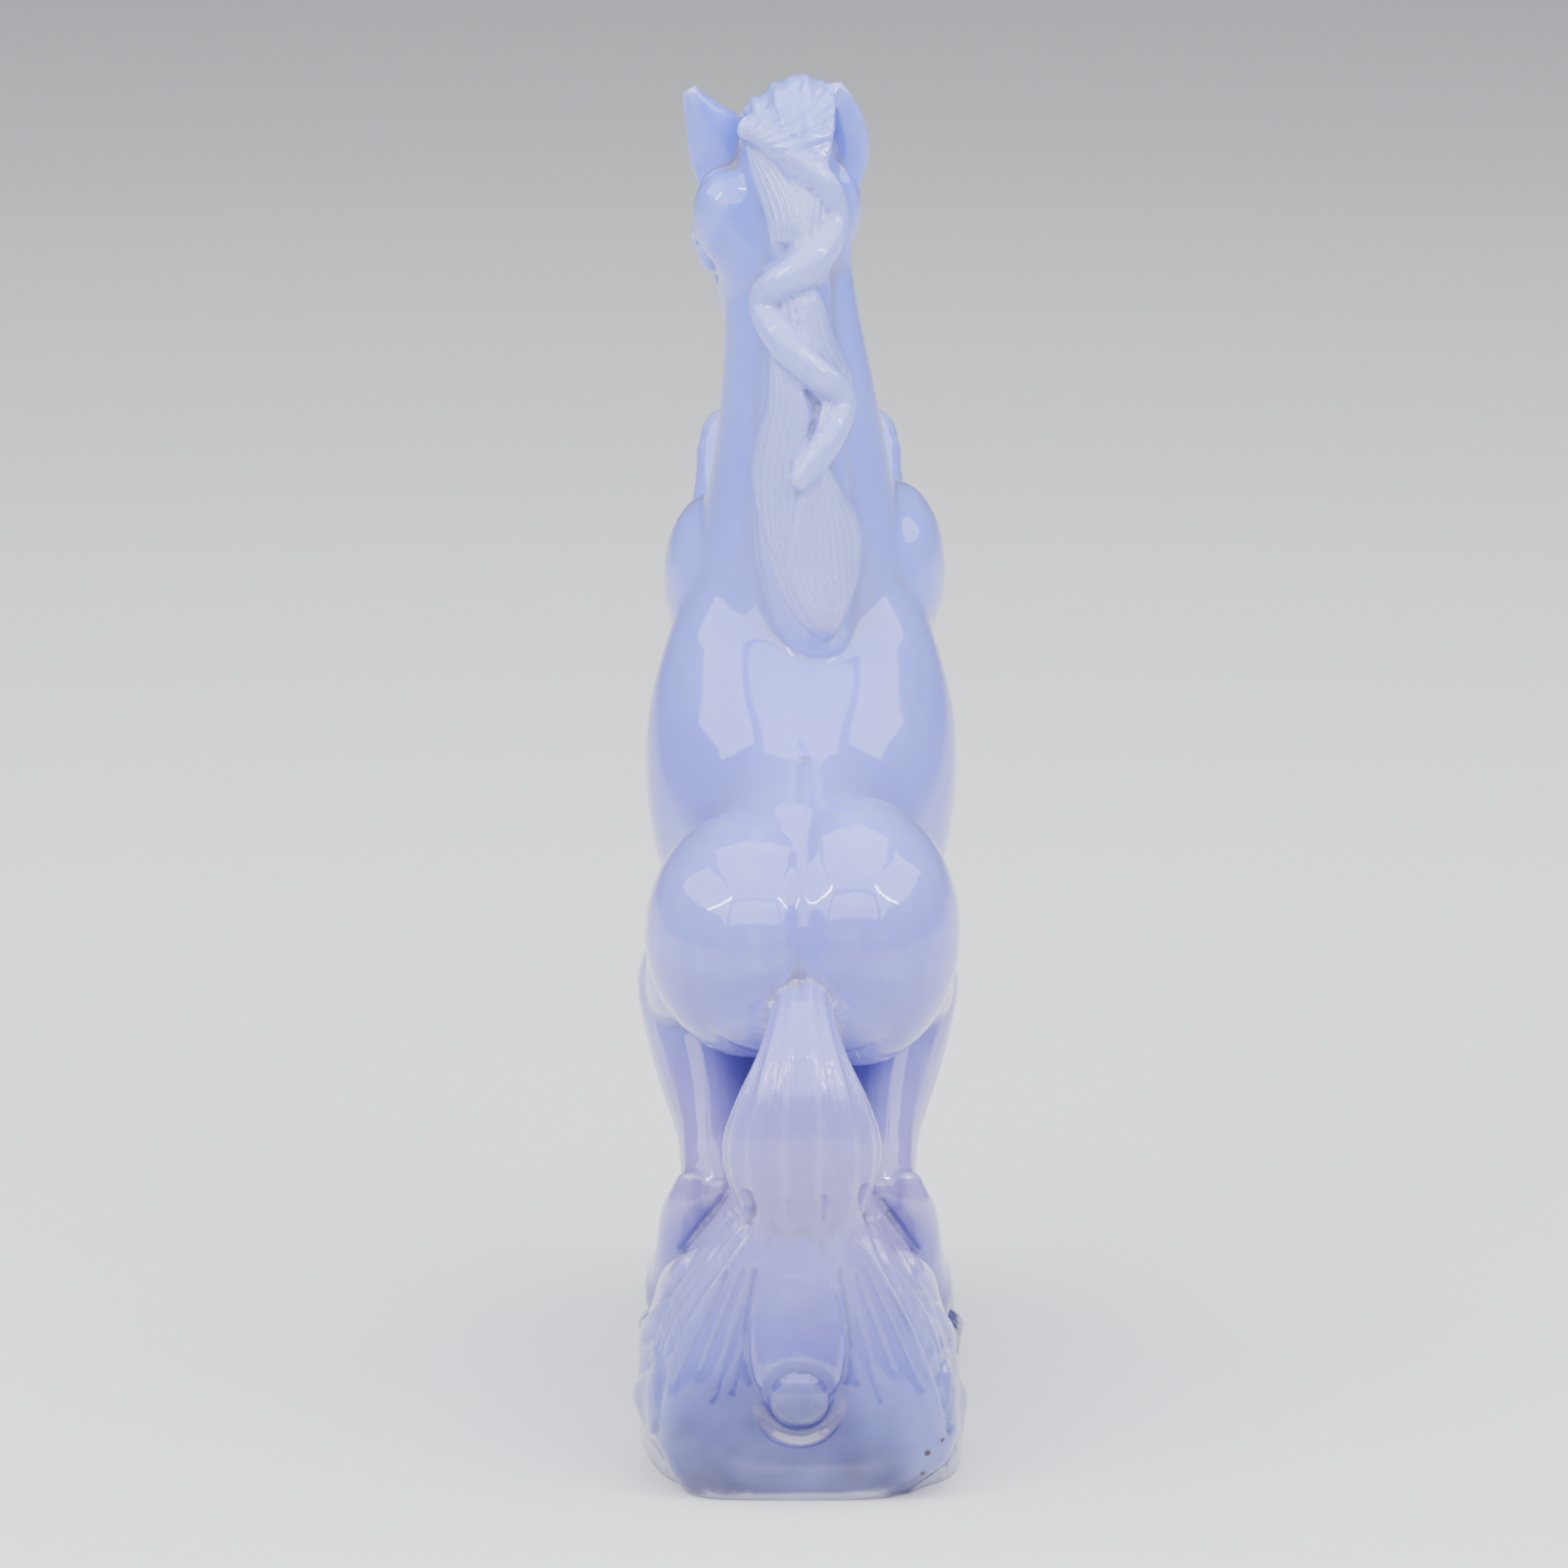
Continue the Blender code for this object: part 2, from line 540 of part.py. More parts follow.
def fan():
    """The tail's hair spread over the rear of the rock: a middle field over wider side bands."""
    middle = [
        (0, -42.6, 34, -30, 34, 6.4),
        (0, -42.6, 30, -29, 30, 7.6),
        (0, -43.0, 26, -28, 26, 10.4),
        (0, -43.6, 20, -27, 20, 13.7),
        (0, -44.4, 14, -26, 14, 15.8),
        (0, -44.8, 8, -25, 8, 16.9),
        (-0.6, -44.8, 4, -24, 4, 16.2),
        (0.7, -43.8, 0.6, -24, 0.6, 13.3),
        (0.8, -42.0, -1.5, -24, -1.5, 11.6),
    ]
    bands = [
        (0, -41.6, 34, -27, 34, 7.2),
        (0.1, -41.4, 30, -25, 30, 9.4),
        (0.3, -41.6, 25.6, -23, 25.6, 12.4),
        (0.5, -42.4, 20, -20, 20, 15.2),
        (0.5, -43.2, 14.6, -18, 14.6, 16.9),
        (0.2, -43.8, 8, -17, 8, 17.9),
        (-0.5, -43.4, 4, -16, 4, 17.4),
        (-1.0, -42.2, 0.6, -14, 0.6, 15.9),
        (-1.0, -40.2, -1.5, -14, -1.5, 14.8),
    ]
    return [loft(middle, squareness=4.5, sides=48), loft(bands, squareness=2.3, sides=48)]


def fan_lobe():
    """The tongue of hair down the middle of the fan, fuller towards its round end."""
    tongue = [(0.4, -39.6, 35), (0.8, -41.6, 29), (0.8, -42.6, 24), (0.6, -43.4, 18.6), (0.4, -44.8, 13.8),
              (0.3, -44.7, 10.6)]
    return [lock(tongue, 5.8, 2.4, taper=(0.64, 0.70, 0.88, 1.0, 0.84, 0.62), steps=6)]


def fan_edges(lay):
    """The bands of hair down both sides of the fan, raised at their outer edge and combed."""
    left = ([(7.6, 31.6), (10.1, 28.4), (12.9, 24.8), (15.2, 20.4), (16.4, 17.0), (17.0, 14.5)],
            [(5.8, 30.2), (9.6, 24.9), (13.0, 19.5), (14.8, 15.2), (15.7, 11.5), (16.1, 7.5)])
    right = ([(-7.9, 30.8), (-10.8, 26.2), (-13.8, 21.6), (-15.9, 16.5), (-16.8, 12.5)],
             [(-6.6, 29.4), (-10.0, 24.0), (-13.4, 16.9), (-15.0, 12.0), (-16.0, 8.3)])
    return [leaf(outer, inner, lay, lift=0.8, ridge=0.05, rise=0.6, strands=3, strand_depth=0.3)
            for outer, inner in (left, right)]


def wave():
    """The mound of water between the legs that climbs to the belly and carries it."""
    body = [
        (0, 36, 4, -27, 4, 14.4),
        (0, 35, 12, -27, 13, 13.2),
        (0, 32, 22, -24, 22, 11.6),
        (0, 26, 33, -18, 31, 9.8),
        (0, 20, 43, -13, 39, 8.0),
        (0, 12, 50, -8, 46, 6.4),
    ]
    return [loft(body, squareness=2.4)]


def falling_water(lay_left, lay_right, lay_front):
    """Bands of water down the mound's sides and front, each between two edges that run from
    under the belly out to the rock's rim."""
    falls = [
        ([(16, 44), (19, 34), (24, 22), (31, 10), (38, 3)], [(8, 42), (11, 32), (15, 21), (20, 10), (26, 2)]),
        ([(9, 40), (11, 31), (14, 21), (19, 11), (26, 3)], [(2, 37), (3, 28), (5, 18), (8, 9), (13, 2)]),
        ([(2, 34), (3, 26), (4, 18), (7, 10), (13, 3)], [(-4, 31), (-4, 23), (-4, 14), (-2, 7), (1, 2)]),
    ]
    front = [
        ([(-1, 44), (-1, 34), (-1, 22), (-1, 12), (-1, 3)], [(6, 44), (7.6, 34), (9.4, 22), (11, 12), (12.5, 3)]),
        ([(1, 44), (1, 34), (1, 22), (1, 12), (1, 3)], [(-6, 44), (-7.6, 34), (-9.4, 22), (-11, 12), (-12.5, 3)]),
    ]
    forms = [leaf(first, second, lay, lift=0.9, ridge=0.3, rise=0.9)
             for lay in (lay_left, lay_right) for first, second in falls]
    return forms + [leaf(first, second, lay_front, lift=0.8, ridge=0.5, rise=0.8) for first, second in front]


def side_folds(lay_left, lay_right):
    """Hair of the fan that laps round the rock's sides in layers."""
    folds = [
        ([(-36, 27), (-30, 24), (-23, 22), (-15, 21.5)], [(-40, 21), (-32, 17.5), (-24, 15.5), (-15, 16)]),
        ([(-38, 24), (-31, 18), (-23, 15.5), (-14, 16)], [(-42, 17), (-34, 11.5), (-25, 9), (-14, 11)]),
        ([(-40, 16), (-33, 11), (-24, 8.5), (-13, 9)], [(-43, 9), (-36, 4.5), (-26, 2.4), (-14, 4)]),
    ]
    return [leaf(first, second, lay, lift=0.5, ridge=0.25, rise=0.5, strands=3)
            for lay in (lay_left, lay_right) for first, second in folds]


# Assembly

def joined_mesh(name, forms):
    points, faces, start = [], [], 0
    for form_points, form_faces in forms:
        points.append(form_points)
        faces += [[start + k for k in face] for face in form_faces]
        start += len(form_points)
    mesh = bpy.data.meshes.new(name)
    mesh.from_pydata(np.concatenate(points).tolist(), [], faces)
    mesh.update()
    shell = bmesh.new()
    shell.from_mesh(mesh)
    bmesh.ops.recalc_face_normals(shell, faces=shell.faces)
    shell.to_mesh(mesh)
    shell.free()
    return mesh


def skin_round(name, forms, passes):
    """One closed mesh drawn round overlapping forms, its creases eased by the passes."""
    source = bpy.data.objects.new(name, joined_mesh(name, forms))
    bpy.context.scene.collection.objects.link(source)
    skin = source.modifiers.new("one skin", "REMESH")
    skin.mode = "VOXEL"
    skin.voxel_size = SKIN_GRAIN * FIGURE_HEIGHT
    ease = source.modifiers.new("eased creases", "SMOOTH")
    ease.factor = SKIN_EASING
    ease.iterations = passes
    graph = bpy.context.evaluated_depsgraph_get()
    mesh = bpy.data.meshes.new_from_object(source.evaluated_get(graph))
    bpy.data.objects.remove(source, do_unlink=True)
    mesh.name = name
    return mesh


def as_form(mesh):
    points = np.empty(len(mesh.vertices) * 3)
    mesh.vertices.foreach_get("co", points)
    return points.reshape(-1, 3), [list(face.vertices) for face in mesh.polygons]


def in_units(mesh):
    """The mesh's points in figure units."""
    x, y, z = as_form(mesh)[0].T
    return np.stack([x / UNIT, -y / UNIT - STANCE, (z - ROCK_RISE) / UNIT + GROUND_UNITS], axis=-1)


def soft_forms():
    return trunk() + neck() + crest() + haunches() + hips() + breast() + skull()


def firm_forms():
    return legs_to_hock() + upper_arms()


def crisp_forms():
    forms = face() + ears() + forelock() + tail() + hind_feet() + fan_lobe()
    return forms + lower_foreleg(1, math.radians(-4)) + lower_foreleg(-1, math.radians(6))


def laid_forms(body, base):
    """The locks and bands that lie on the body and on the base."""
    forms = mane(shown_from(in_units(body), [0, 2], 1, -1))
    left, right = (shown_from(in_units(base), [1, 2], 0, side) for side in (1, -1))
    front, back = (shown_from(in_units(base), [0, 2], 1, side) for side in (1, -1))
    return forms + falling_water(left, right, front) + side_folds(left, right) + fan_edges(back)


def carved_mesh():
    body = skin_round("body", soft_forms(), BODY_PASSES)
    base = skin_round("base", rock() + fan() + wave(), BASE_PASSES)
    forms = [as_form(body), as_form(base)] + firm_forms() + crisp_forms() + laid_forms(body, base)
    return skin_round("horse_carving", forms, WHOLE_PASSES)


def collection(name):
    made = bpy.data.collections.new(name)
    bpy.context.scene.collection.children.link(made)
    return made


def stone():
    material = bpy.data.materials.new("polished blue chalcedony")
    material.use_nodes = True
    shader = material.node_tree.nodes["Principled BSDF"]
    shader.inputs["Base Color"].default_value = STONE_COLOUR
    shader.inputs["Roughness"].default_value = STONE_ROUGHNESS
    shader.inputs["Metallic"].default_value = 0.0
    return material


def ground_cutter(where):
    """Everything below the rock's underside, taken off flat."""
    depth = ROCK_LENGTH
    bpy.ops.mesh.primitive_cube_add(size=1)
    cutter = bpy.context.object
    cutter.name = "ground_cutter"
    cutter.data.transform(Matrix.Diagonal((3 * ROCK_WIDTH, 3 * ROCK_LENGTH, depth, 1)))
    cutter.location = (0, 0, -depth / 2)
    cutter.hide_render = True
    cutter.display_type = "WIRE"
    for other in list(cutter.users_collection):
        other.objects.unlink(cutter)
    where.objects.link(cutter)
    return cutter


def horse_carving(where, cutter):
    mesh = carved_mesh()
    mesh.materials.clear()
    mesh.materials.append(stone())
    mesh.shade_smooth()
    carving = bpy.data.objects.new("horse_carving", mesh)
    where.objects.link(carving)

    triangles = sum(len(face.vertices) - 2 for face in mesh.polygons)
    fewer = carving.modifiers.new("fewer faces", "DECIMATE")
    fewer.ratio = min(1.0, SKIN_TRIANGLES / triangles)
    fewer.use_collapse_triangulate = True

    foot = carving.modifiers.new("flat underside", "BOOLEAN")
    foot.operation = "DIFFERENCE"
    foot.object = cutter
    return carving


def main():
    clear_scene()
    carving_parts = collection("chalcedony horse carving")
    cutters = collection("cutters")
    horse_carving(carving_parts, ground_cutter(cutters))


main()
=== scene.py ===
"""Looks of a rearing horse on a rock, carved from blue chalcedony and polished.

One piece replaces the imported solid: the same forms in a finer skin, with the hair's strands and
the burr's fine cuts worked in. Metres, +Z up; the horse faces -Y. Its stations are in figure
units of a millimetre: (x, forward, up). A form is its points and its faces, and the faces are
their corners in a row and the number of corners of each.
"""

import math

import bmesh
import bpy
import numpy as np
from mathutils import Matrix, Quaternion, Vector


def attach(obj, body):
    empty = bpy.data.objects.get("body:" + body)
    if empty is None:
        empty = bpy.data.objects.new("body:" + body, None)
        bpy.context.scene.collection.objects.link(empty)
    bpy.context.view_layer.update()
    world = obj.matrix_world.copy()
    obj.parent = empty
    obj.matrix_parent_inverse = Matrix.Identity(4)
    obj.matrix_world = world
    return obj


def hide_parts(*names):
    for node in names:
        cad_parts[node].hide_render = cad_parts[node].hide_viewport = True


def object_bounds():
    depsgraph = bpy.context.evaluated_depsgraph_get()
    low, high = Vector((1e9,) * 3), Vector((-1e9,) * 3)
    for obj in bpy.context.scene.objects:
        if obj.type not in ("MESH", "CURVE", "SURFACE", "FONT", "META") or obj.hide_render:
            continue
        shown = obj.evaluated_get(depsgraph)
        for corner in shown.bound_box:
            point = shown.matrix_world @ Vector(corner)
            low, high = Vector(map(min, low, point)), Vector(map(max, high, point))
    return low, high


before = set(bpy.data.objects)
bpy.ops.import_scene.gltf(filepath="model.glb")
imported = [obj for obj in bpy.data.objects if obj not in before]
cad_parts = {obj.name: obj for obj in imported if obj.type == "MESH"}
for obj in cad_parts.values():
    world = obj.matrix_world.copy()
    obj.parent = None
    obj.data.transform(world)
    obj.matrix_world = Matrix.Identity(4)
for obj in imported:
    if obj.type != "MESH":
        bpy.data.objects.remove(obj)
cad_box = [list(corner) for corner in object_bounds()]

# Sizes, in metres: the solid's own
FIGURE_HEIGHT = 0.144
ROCK_LENGTH = 0.082
ROCK_WIDTH = 0.0365
ROCK_RISE = 0.006

# The same in figure units, and the figure's step back on the rock
FIGURE_UNITS = 144.0
GROUND_UNITS = 6.0
STANCE = 3.0
UNIT = FIGURE_HEIGHT / FIGURE_UNITS

# The skins drawn round the forms, in metres: soft for the body, fine for the whole
SOFT_GRAIN = 0.00036
FINE_GRAIN = 0.00027
SKIN_EASING = 0.5
BODY_PASSES = 66
BASE_PASSES = 18
FINE_PASSES = 5
PIECE_TRIANGLES = 192000


# Places

AXES = np.array([1, -1, 1])
START = np.array([0, -STANCE, GROUND_UNITS])
ROCK_TOP = np.array([0, 0, ROCK_RISE])


def in_figure(points):
    """Figure units to metres: from the start, times the unit, forward to -Y, on the rock."""
    return (np.asarray(points, float) - START) * (AXES * UNIT) + ROCK_TOP


def in_units(points):
    """Metres to figure units: in_figure undone."""
    return (points - ROCK_TOP) / (AXES * UNIT) + START


def in_rock(points):
    """Shares of the rock's half width, half length and rise to metres."""
    return np.asarray(points, float) * (ROCK_WIDTH / 2, -ROCK_LENGTH / 2, ROCK_RISE)


def turned(angle, first, second):
    """The matrix that turns the second axis towards the first by the angle: its cosine on the
    diagonal, its sine and the opposite off it."""
    matrix = np.eye(3)
    matrix[[first, second], [first, second]] = math.cos(angle)
    matrix[first, second] = math.sin(angle)
    matrix[second, first] = -math.sin(angle)
    return matrix


POLL = np.array([3.0, 18.5, 138.0])
NOSE_DOWN = math.radians(52)
HEAD_TURN = math.radians(4)
HEAD_TILT = math.radians(10)
HEAD_WAYS = turned(HEAD_TURN, 0, 1) @ turned(NOSE_DOWN, 1, 2) @ turned(HEAD_TILT, 0, 2)


def in_head(points):
    """Head units (x, along the nose, out from the forehead) to metres: turned, from the poll."""
    return in_figure(points @ HEAD_WAYS.T + POLL)


def from_head(points):
    """Figure units to head units: in_head's turns undone."""
    return (points - POLL) @ HEAD_WAYS


# Surfaces

def spline(rows, count):
    """A Catmull-Rom curve through the rows, at count places spread evenly over them."""
    rows = np.asarray(rows, float)
    ends = np.vstack([2 * rows[0] - rows[1], rows, 2 * rows[-1] - rows[-2]])
    place = np.linspace(0, len(rows) - 1, count)
    first = np.minimum(place.astype(int), len(rows) - 2)
    t = (place - first)[:, None]
    before, start, end, after = (ends[first + k] for k in range(4))
    return 0.5 * (2 * start + (end - before) * t
                  + (2 * before - 5 * start + 4 * end - after) * t ** 2
                  + (3 * start - before - 3 * end + after) * t ** 3)


def rounded(angle, squareness):
    """Unit superellipse at the angles; squareness 2 is an ellipse, more is boxier."""
    c, s = np.cos(angle), np.sin(angle)
    power = 2 / squareness
    return np.sign(c) * np.abs(c) ** power, np.sign(s) * np.abs(s) ** power


def unit(rows):
    return rows / np.linalg.norm(rows, axis=-1, keepdims=True)


def square_to(along, way):
    """The way, less its part along each unit row, one long."""
    way = np.broadcast_to(np.asarray(way, float), along.shape)
    return unit(way - along * (along * way).sum(axis=1, keepdims=True))


def fluted(sides, flutes, depth):
    """Angles round a ring, and its swell: 1 plus the depth times the cosine of flutes turns."""
    angle = np.linspace(0, 2 * math.pi, sides, endpoint=False)
    return angle, 1 + depth * np.cos(flutes * angle) * (flutes > 0)


def skin_of(rings, first_pole, last_pole):
    """Closed form over rings of points: quads between rings, triangles to a pole at each end."""
    count, sides = rings.shape[:2]
    points = np.vstack([rings.reshape(-1, 3), first_pole, last_pole])
    ring = np.arange(sides)
    after = (ring + 1) % sides
    low = np.arange(count - 1)[:, None] * sides
    quads = np.stack([low + ring, low + after, low + sides + after, low + sides + ring], axis=-1)
    top = (count - 1) * sides
    first = np.stack([after, ring, np.full(sides, count * sides)], axis=-1)
    last = np.stack([top + ring, top + after, np.full(sides, count * sides + 1)], axis=-1)
    corners = np.concatenate([quads.ravel(), first.ravel(), last.ravel()])
    return points, (corners, np.repeat([4, 3], [quads.size // 4, 2 * sides]))


def loft_rings(stations, bias=0.0, squareness=2.0, steps=6, sides=24, flutes=0, flute_depth=0.04):
    """Middle line and rings of a form through stations of (x, forward and up of its upper line,
    forward and up of its lower line, half width). A ring is a superellipse between the lines, its
    widest place moved up by the bias, with flutes along the form."""
    rows = spline(stations, (len(stations) - 1) * steps + 1)
    upper, lower = rows[:, [0, 1, 2]], rows[:, [0, 3, 4]]
    middle, reach = (upper + lower) / 2, (upper - lower) / 2
    angle, swell = fluted(sides, flutes, flute_depth)
    c, s = (swell * part for part in rounded(angle, squareness))
    across = rows[:, 5, None] * (1, 0, 0)
    rings = (middle[:, None] + across[:, None] * c[:, None]
             + reach[:, None] * (s + bias * c ** 2)[:, None])
    return middle, rings


# How far ends stand out, as a share of their smallest reach, and the turns there
DOME = 0.6
FLAT_DOME = 0.1
DOME_TURNS = np.linspace(0, math.pi / 2, 5)[1:-1]


def domed(rings, middle, dome, place):
    """Closes a form at both ends with rings that shrink by the cosine of each turn and stand out
    by its sine, and a pole."""
    def end(ring, centre, inner):
        away = centre - inner
        away /= max(np.linalg.norm(away), 1e-9)
        away *= np.linalg.norm(ring - centre, axis=1).min() * dome
        return [centre + (ring - centre) * math.cos(turn) + away * math.sin(turn)
                for turn in DOME_TURNS], centre + away

    start, first_pole = end(rings[0], middle[0], middle[1])
    finish, last_pole = end(rings[-1], middle[-1], middle[-2])
    rings = np.concatenate([np.array(start[::-1]), rings, np.array(finish)])
    points, faces = skin_of(rings, first_pole, last_pole)
    return place(points), faces


def loft(stations, place=in_figure, dome=DOME, **form):
    """The rings of loft_rings, closed and put in place."""
    middle, rings = loft_rings(stations, **form)
    return domed(rings, middle, dome, place)


def lock_rings(path, width, thick, across=(1, 0, 0), flutes=0, flute_depth=0.12,
               taper=(0.55, 1.0, 0.85, 0.25), steps=8, sides=20):
    """Middle line of a lock of hair and rings square to it: ellipses, tapered and fluted."""
    line = spline(path, (len(path) - 1) * steps + 1)
    tangent = unit(np.gradient(line, axis=0))
    flat = square_to(tangent, across)
    out = np.cross(tangent, flat)
    size = spline(np.asarray(taper, float)[:, None], len(line))[:, :, None]
    angle, swell = fluted(sides, flutes, flute_depth)
    rings = (line[:, None] + flat[:, None] * (np.cos(angle) * swell)[:, None] * (width * size)
             + out[:, None] * (np.sin(angle) * swell)[:, None] * (thick * size))
    return line, rings


def lock(path, width, thick, **form):
    """A lock of hair: the rings of lock_rings, closed and put in place."""
    line, rings = lock_rings(path, width, thick, **form)
    return domed(rings, line, DOME, in_figure)


def muscle(centre, radii, lean=0.0, place=in_figure, sides=24, rings=11):
    """An ellipsoid: radii along x, forward and up, leaned nose-up, in degrees."""
    tilt, turn = np.meshgrid(np.linspace(-math.pi / 2, math.pi / 2, rings + 2)[1:-1],
                             np.linspace(0, 2 * math.pi, sides, endpoint=False), indexing="ij")
    ball = np.stack([np.cos(tilt) * np.cos(turn), np.cos(tilt) * np.sin(turn), np.sin(tilt)],
                    axis=-1)
    ball, faces = skin_of(ball, (0, 0, -1), (0, 0, 1))
    return place(ball * radii @ turned(math.radians(-lean), 1, 2).T + centre), faces


def shown_from(points, plane, outward, side, cell=0.9, passes=2):
    """A form's skin as it shows from one side, over the plane of two coordinates: the outermost
    point in each cell, spread to empty cells and eased. Returns a function that lays places of the
    plane on it, lifted off it."""
    low = points[:, plane].min(axis=0) - 3 * cell
    column = np.round((points[:, plane] - low) / cell).astype(int)
    reach = np.full(column.max(axis=0) + 4, -np.inf)
    np.maximum.at(reach, tuple(column.T), side * points[:, outward])

    def around():
        return np.stack([np.roll(reach, step, axis) for axis in (0, 1) for step in (-1, 1)])

    while np.isinf(reach).any():
        reach = np.where(np.isinf(reach), around().max(axis=0), reach)
    for _ in range(passes):
        reach = (2 * reach + around().sum(axis=0)) / 6

    def lay(where, lift):
        spot = np.clip((where - low) / cell, 0, np.array(reach.shape) - 1.001)
        i, j = np.moveaxis(spot.astype(int), -1, 0)
        u, v = spot[..., 0] - i, spot[..., 1] - j
        near = reach[i, j] * (1 - u) + reach[i + 1, j] * u
        far = reach[i, j + 1] * (1 - u) + reach[i + 1, j + 1] * u
        laid = np.empty(where.shape[:-1] + (3,))
        laid[..., plane] = where
        laid[..., outward] = side * (near * (1 - v) + far * v + lift)
        return laid

    return lay


def between(first, second, u, steps):
    """Places between two edges, a row for each step along them, at shares u of the way over."""
    count = (max(len(first), len(second)) - 1) * steps + 1
    low, high = spline(first, count), spline(second, count)
    return low[:, None] * (1 - u)[:, None] + high[:, None] * u[:, None]


# How late a leaf thins to its edges and its ends, and its ridge's width as a share of its own
EDGE_POWER, END_POWER = 8, 12
RIDGE_WIDTH = 0.28


def leaf(first, second, lay, lift=1.2, ridge=0.5, rise=0.5, root=2.6, steps=8, across=21):
    """A flat lock of hair or band of water, laid on a form between two edges. It stands lift above
    the form, and by a bell curve more at u = ridge, and thins to its edges and ends."""
    u = (1 - np.cos(np.linspace(0, math.pi, across))) / 2
    where = between(first, second, u, steps)
    v = np.linspace(0, 1, len(where))
    edge = np.sqrt(1 - np.abs(2 * u - 1) ** EDGE_POWER)
    end = np.sqrt(1 - np.abs(2 * v - 1) ** END_POWER)
    height = lift + rise * np.exp(-((u - ridge) / RIDGE_WIDTH) ** 2)
    top = lay(where, end[:, None] * (edge * height)[None])
    under = lay(where[:, ::-1], np.full(where.shape[:2], -root))
    rings = np.concatenate([top, under], axis=1)
    points, faces = skin_of(rings, rings[0].mean(axis=0), rings[-1].mean(axis=0))
    return in_figure(points), faces


def on_side(stations, side, drift=0.0):
    """Stations given for the left side, on that side (1 left, -1 right), moved by the drift."""
    rows = np.asarray(stations, float).copy()
    rows[:, 0] = side * rows[:, 0] + drift
    return rows


def both_sides(stations, drift=0.0, **form):
    return [loft(on_side(stations, side, drift), **form) for side in (1, -1)]


# The horse

def trunk():
    return [loft([
        (0, -35, 56, -31, 48, 9.5), (0, -33, 63.5, -20, 44.5, 14.6),
        (0, -23.5, 73, -8, 41.5, 15.7), (0, -11.5, 77.8, 2.5, 43, 13.9),
        (0, -3, 83.5, 14, 49, 17.2), (0, 4.5, 90, 25, 57, 18.1), (0, 9.5, 96, 34, 66, 16.2),
        (0, 20, 99, 40, 74, 13), (0, 31, 96, 42.5, 81, 8.5),
    ], bias=-0.08, steps=5, sides=32)]


def neck():
    return [loft([
        (0, 1, 86, 37, 72, 14), (0, 5.5, 96, 41, 84, 13.3), (0, 6.5, 106, 36, 97.5, 10.8),
        (0.3, 8, 116, 31.5, 109.5, 9), (1.1, 10.6, 126, 28, 119.5, 7.7),
        (1.5, 14.8, 134, 28, 126.5, 7), (2, 20.5, 138, 29, 131, 6.4),
    ], bias=-0.05, sides=28)]


def haunches():
    """The two buttocks, the right one a little fuller."""
    return [muscle((5.2, -19.4, 58.8), (12.6, 16.6, 14.2), lean=-12),
            muscle((-5.8, -19.2, 59), (12.2, 16.6, 15.4), lean=-12)]


def hips():
    return both_sides([
        (8.4, -3, 64, -26, 62, 7.8), (9.2, 4, 55, -24, 52.5, 8.2),
        (9.8, 5.6, 48, -17.5, 47.5, 7.8), (9.8, 4.4, 44, -12, 45.5, 6.8),
    ], drift=0.2)


def legs_to_hock():
    """From the thigh round the knee and back to the hock, with a crease under the buttock."""
    return both_sides([
        (9.4, 4.6, 55, -15, 55.5, 7.2), (10, 6.8, 48.5, -14, 51.5, 8.3),
        (10.1, 4.8, 41.5, -11, 49.5, 8), (9.7, -3, 34.2, -14.6, 46.8, 6.7),
        (9.1, -12.8, 29.8, -20.8, 40.2, 4.8), (8.8, -19.4, 26.4, -26.4, 36, 4.5),
        (8.6, -22, 24, -29.4, 32.6, 4.6),
    ], drift=0.4)


def hind_feet():
    """From the hock down."""
    hock_and_cannon = [
        (11.5, -20.8, 29.8, -28.8, 32.8, 2.5), (11.8, -19.2, 27, -29.2, 29, 3.7),
        (12.3, -17.6, 23.6, -26, 21.8, 3.9), (13.1, -13.6, 21.6, -21.4, 16.8, 3.7),
        (13.5, -10.6, 19, -18.6, 12.4, 4.1), (13.5, -9, 14.6, -14.8, 9.6, 3.5),
    ]
    hoof = [
        (13.2, -8.2, 14.2, -15.2, 9.8, 3.4), (13.4, -6.2, 10.6, -14.6, 7.2, 3.9),
        (13.6, -4, 5.4, -14.6, 3.6, 4.5),
    ]
    return (both_sides(hock_and_cannon, drift=0.3, squareness=2.3)
            + both_sides(hoof, drift=0.3, squareness=2.4, dome=FLAT_DOME))


def breast():
    """The points of the shoulders, and the breast between them."""
    forms = [muscle((10.1, 27.6, 89.2), (6.1, 12.6, 10), lean=-25),
             muscle((-10.9, 27.6, 90.2), (6.1, 12.6, 10.4), lean=-25)]
    return forms + [muscle((side * 5.2, 36.5, 82), (5.6, 7, 8.5), lean=-12)
                    for side in (-1, 1)]


def upper_arms():
    """From the shoulders forward and up to the knees."""
    return both_sides([
        (8, 20, 95, 22, 72, 6), (9.4, 27.5, 94, 30, 71.5, 5.8), (9.6, 33, 91.5, 40, 77, 5.4),
        (9, 38, 95, 45.6, 86, 4.6), (8.4, 42.6, 99.6, 49, 94.2, 4),
        (8.3, 45, 102.8, 50.6, 98, 3.9),
    ], drift=np.array([-0.4, -0.4, -0.3, 0, 0.2, 0.2]))


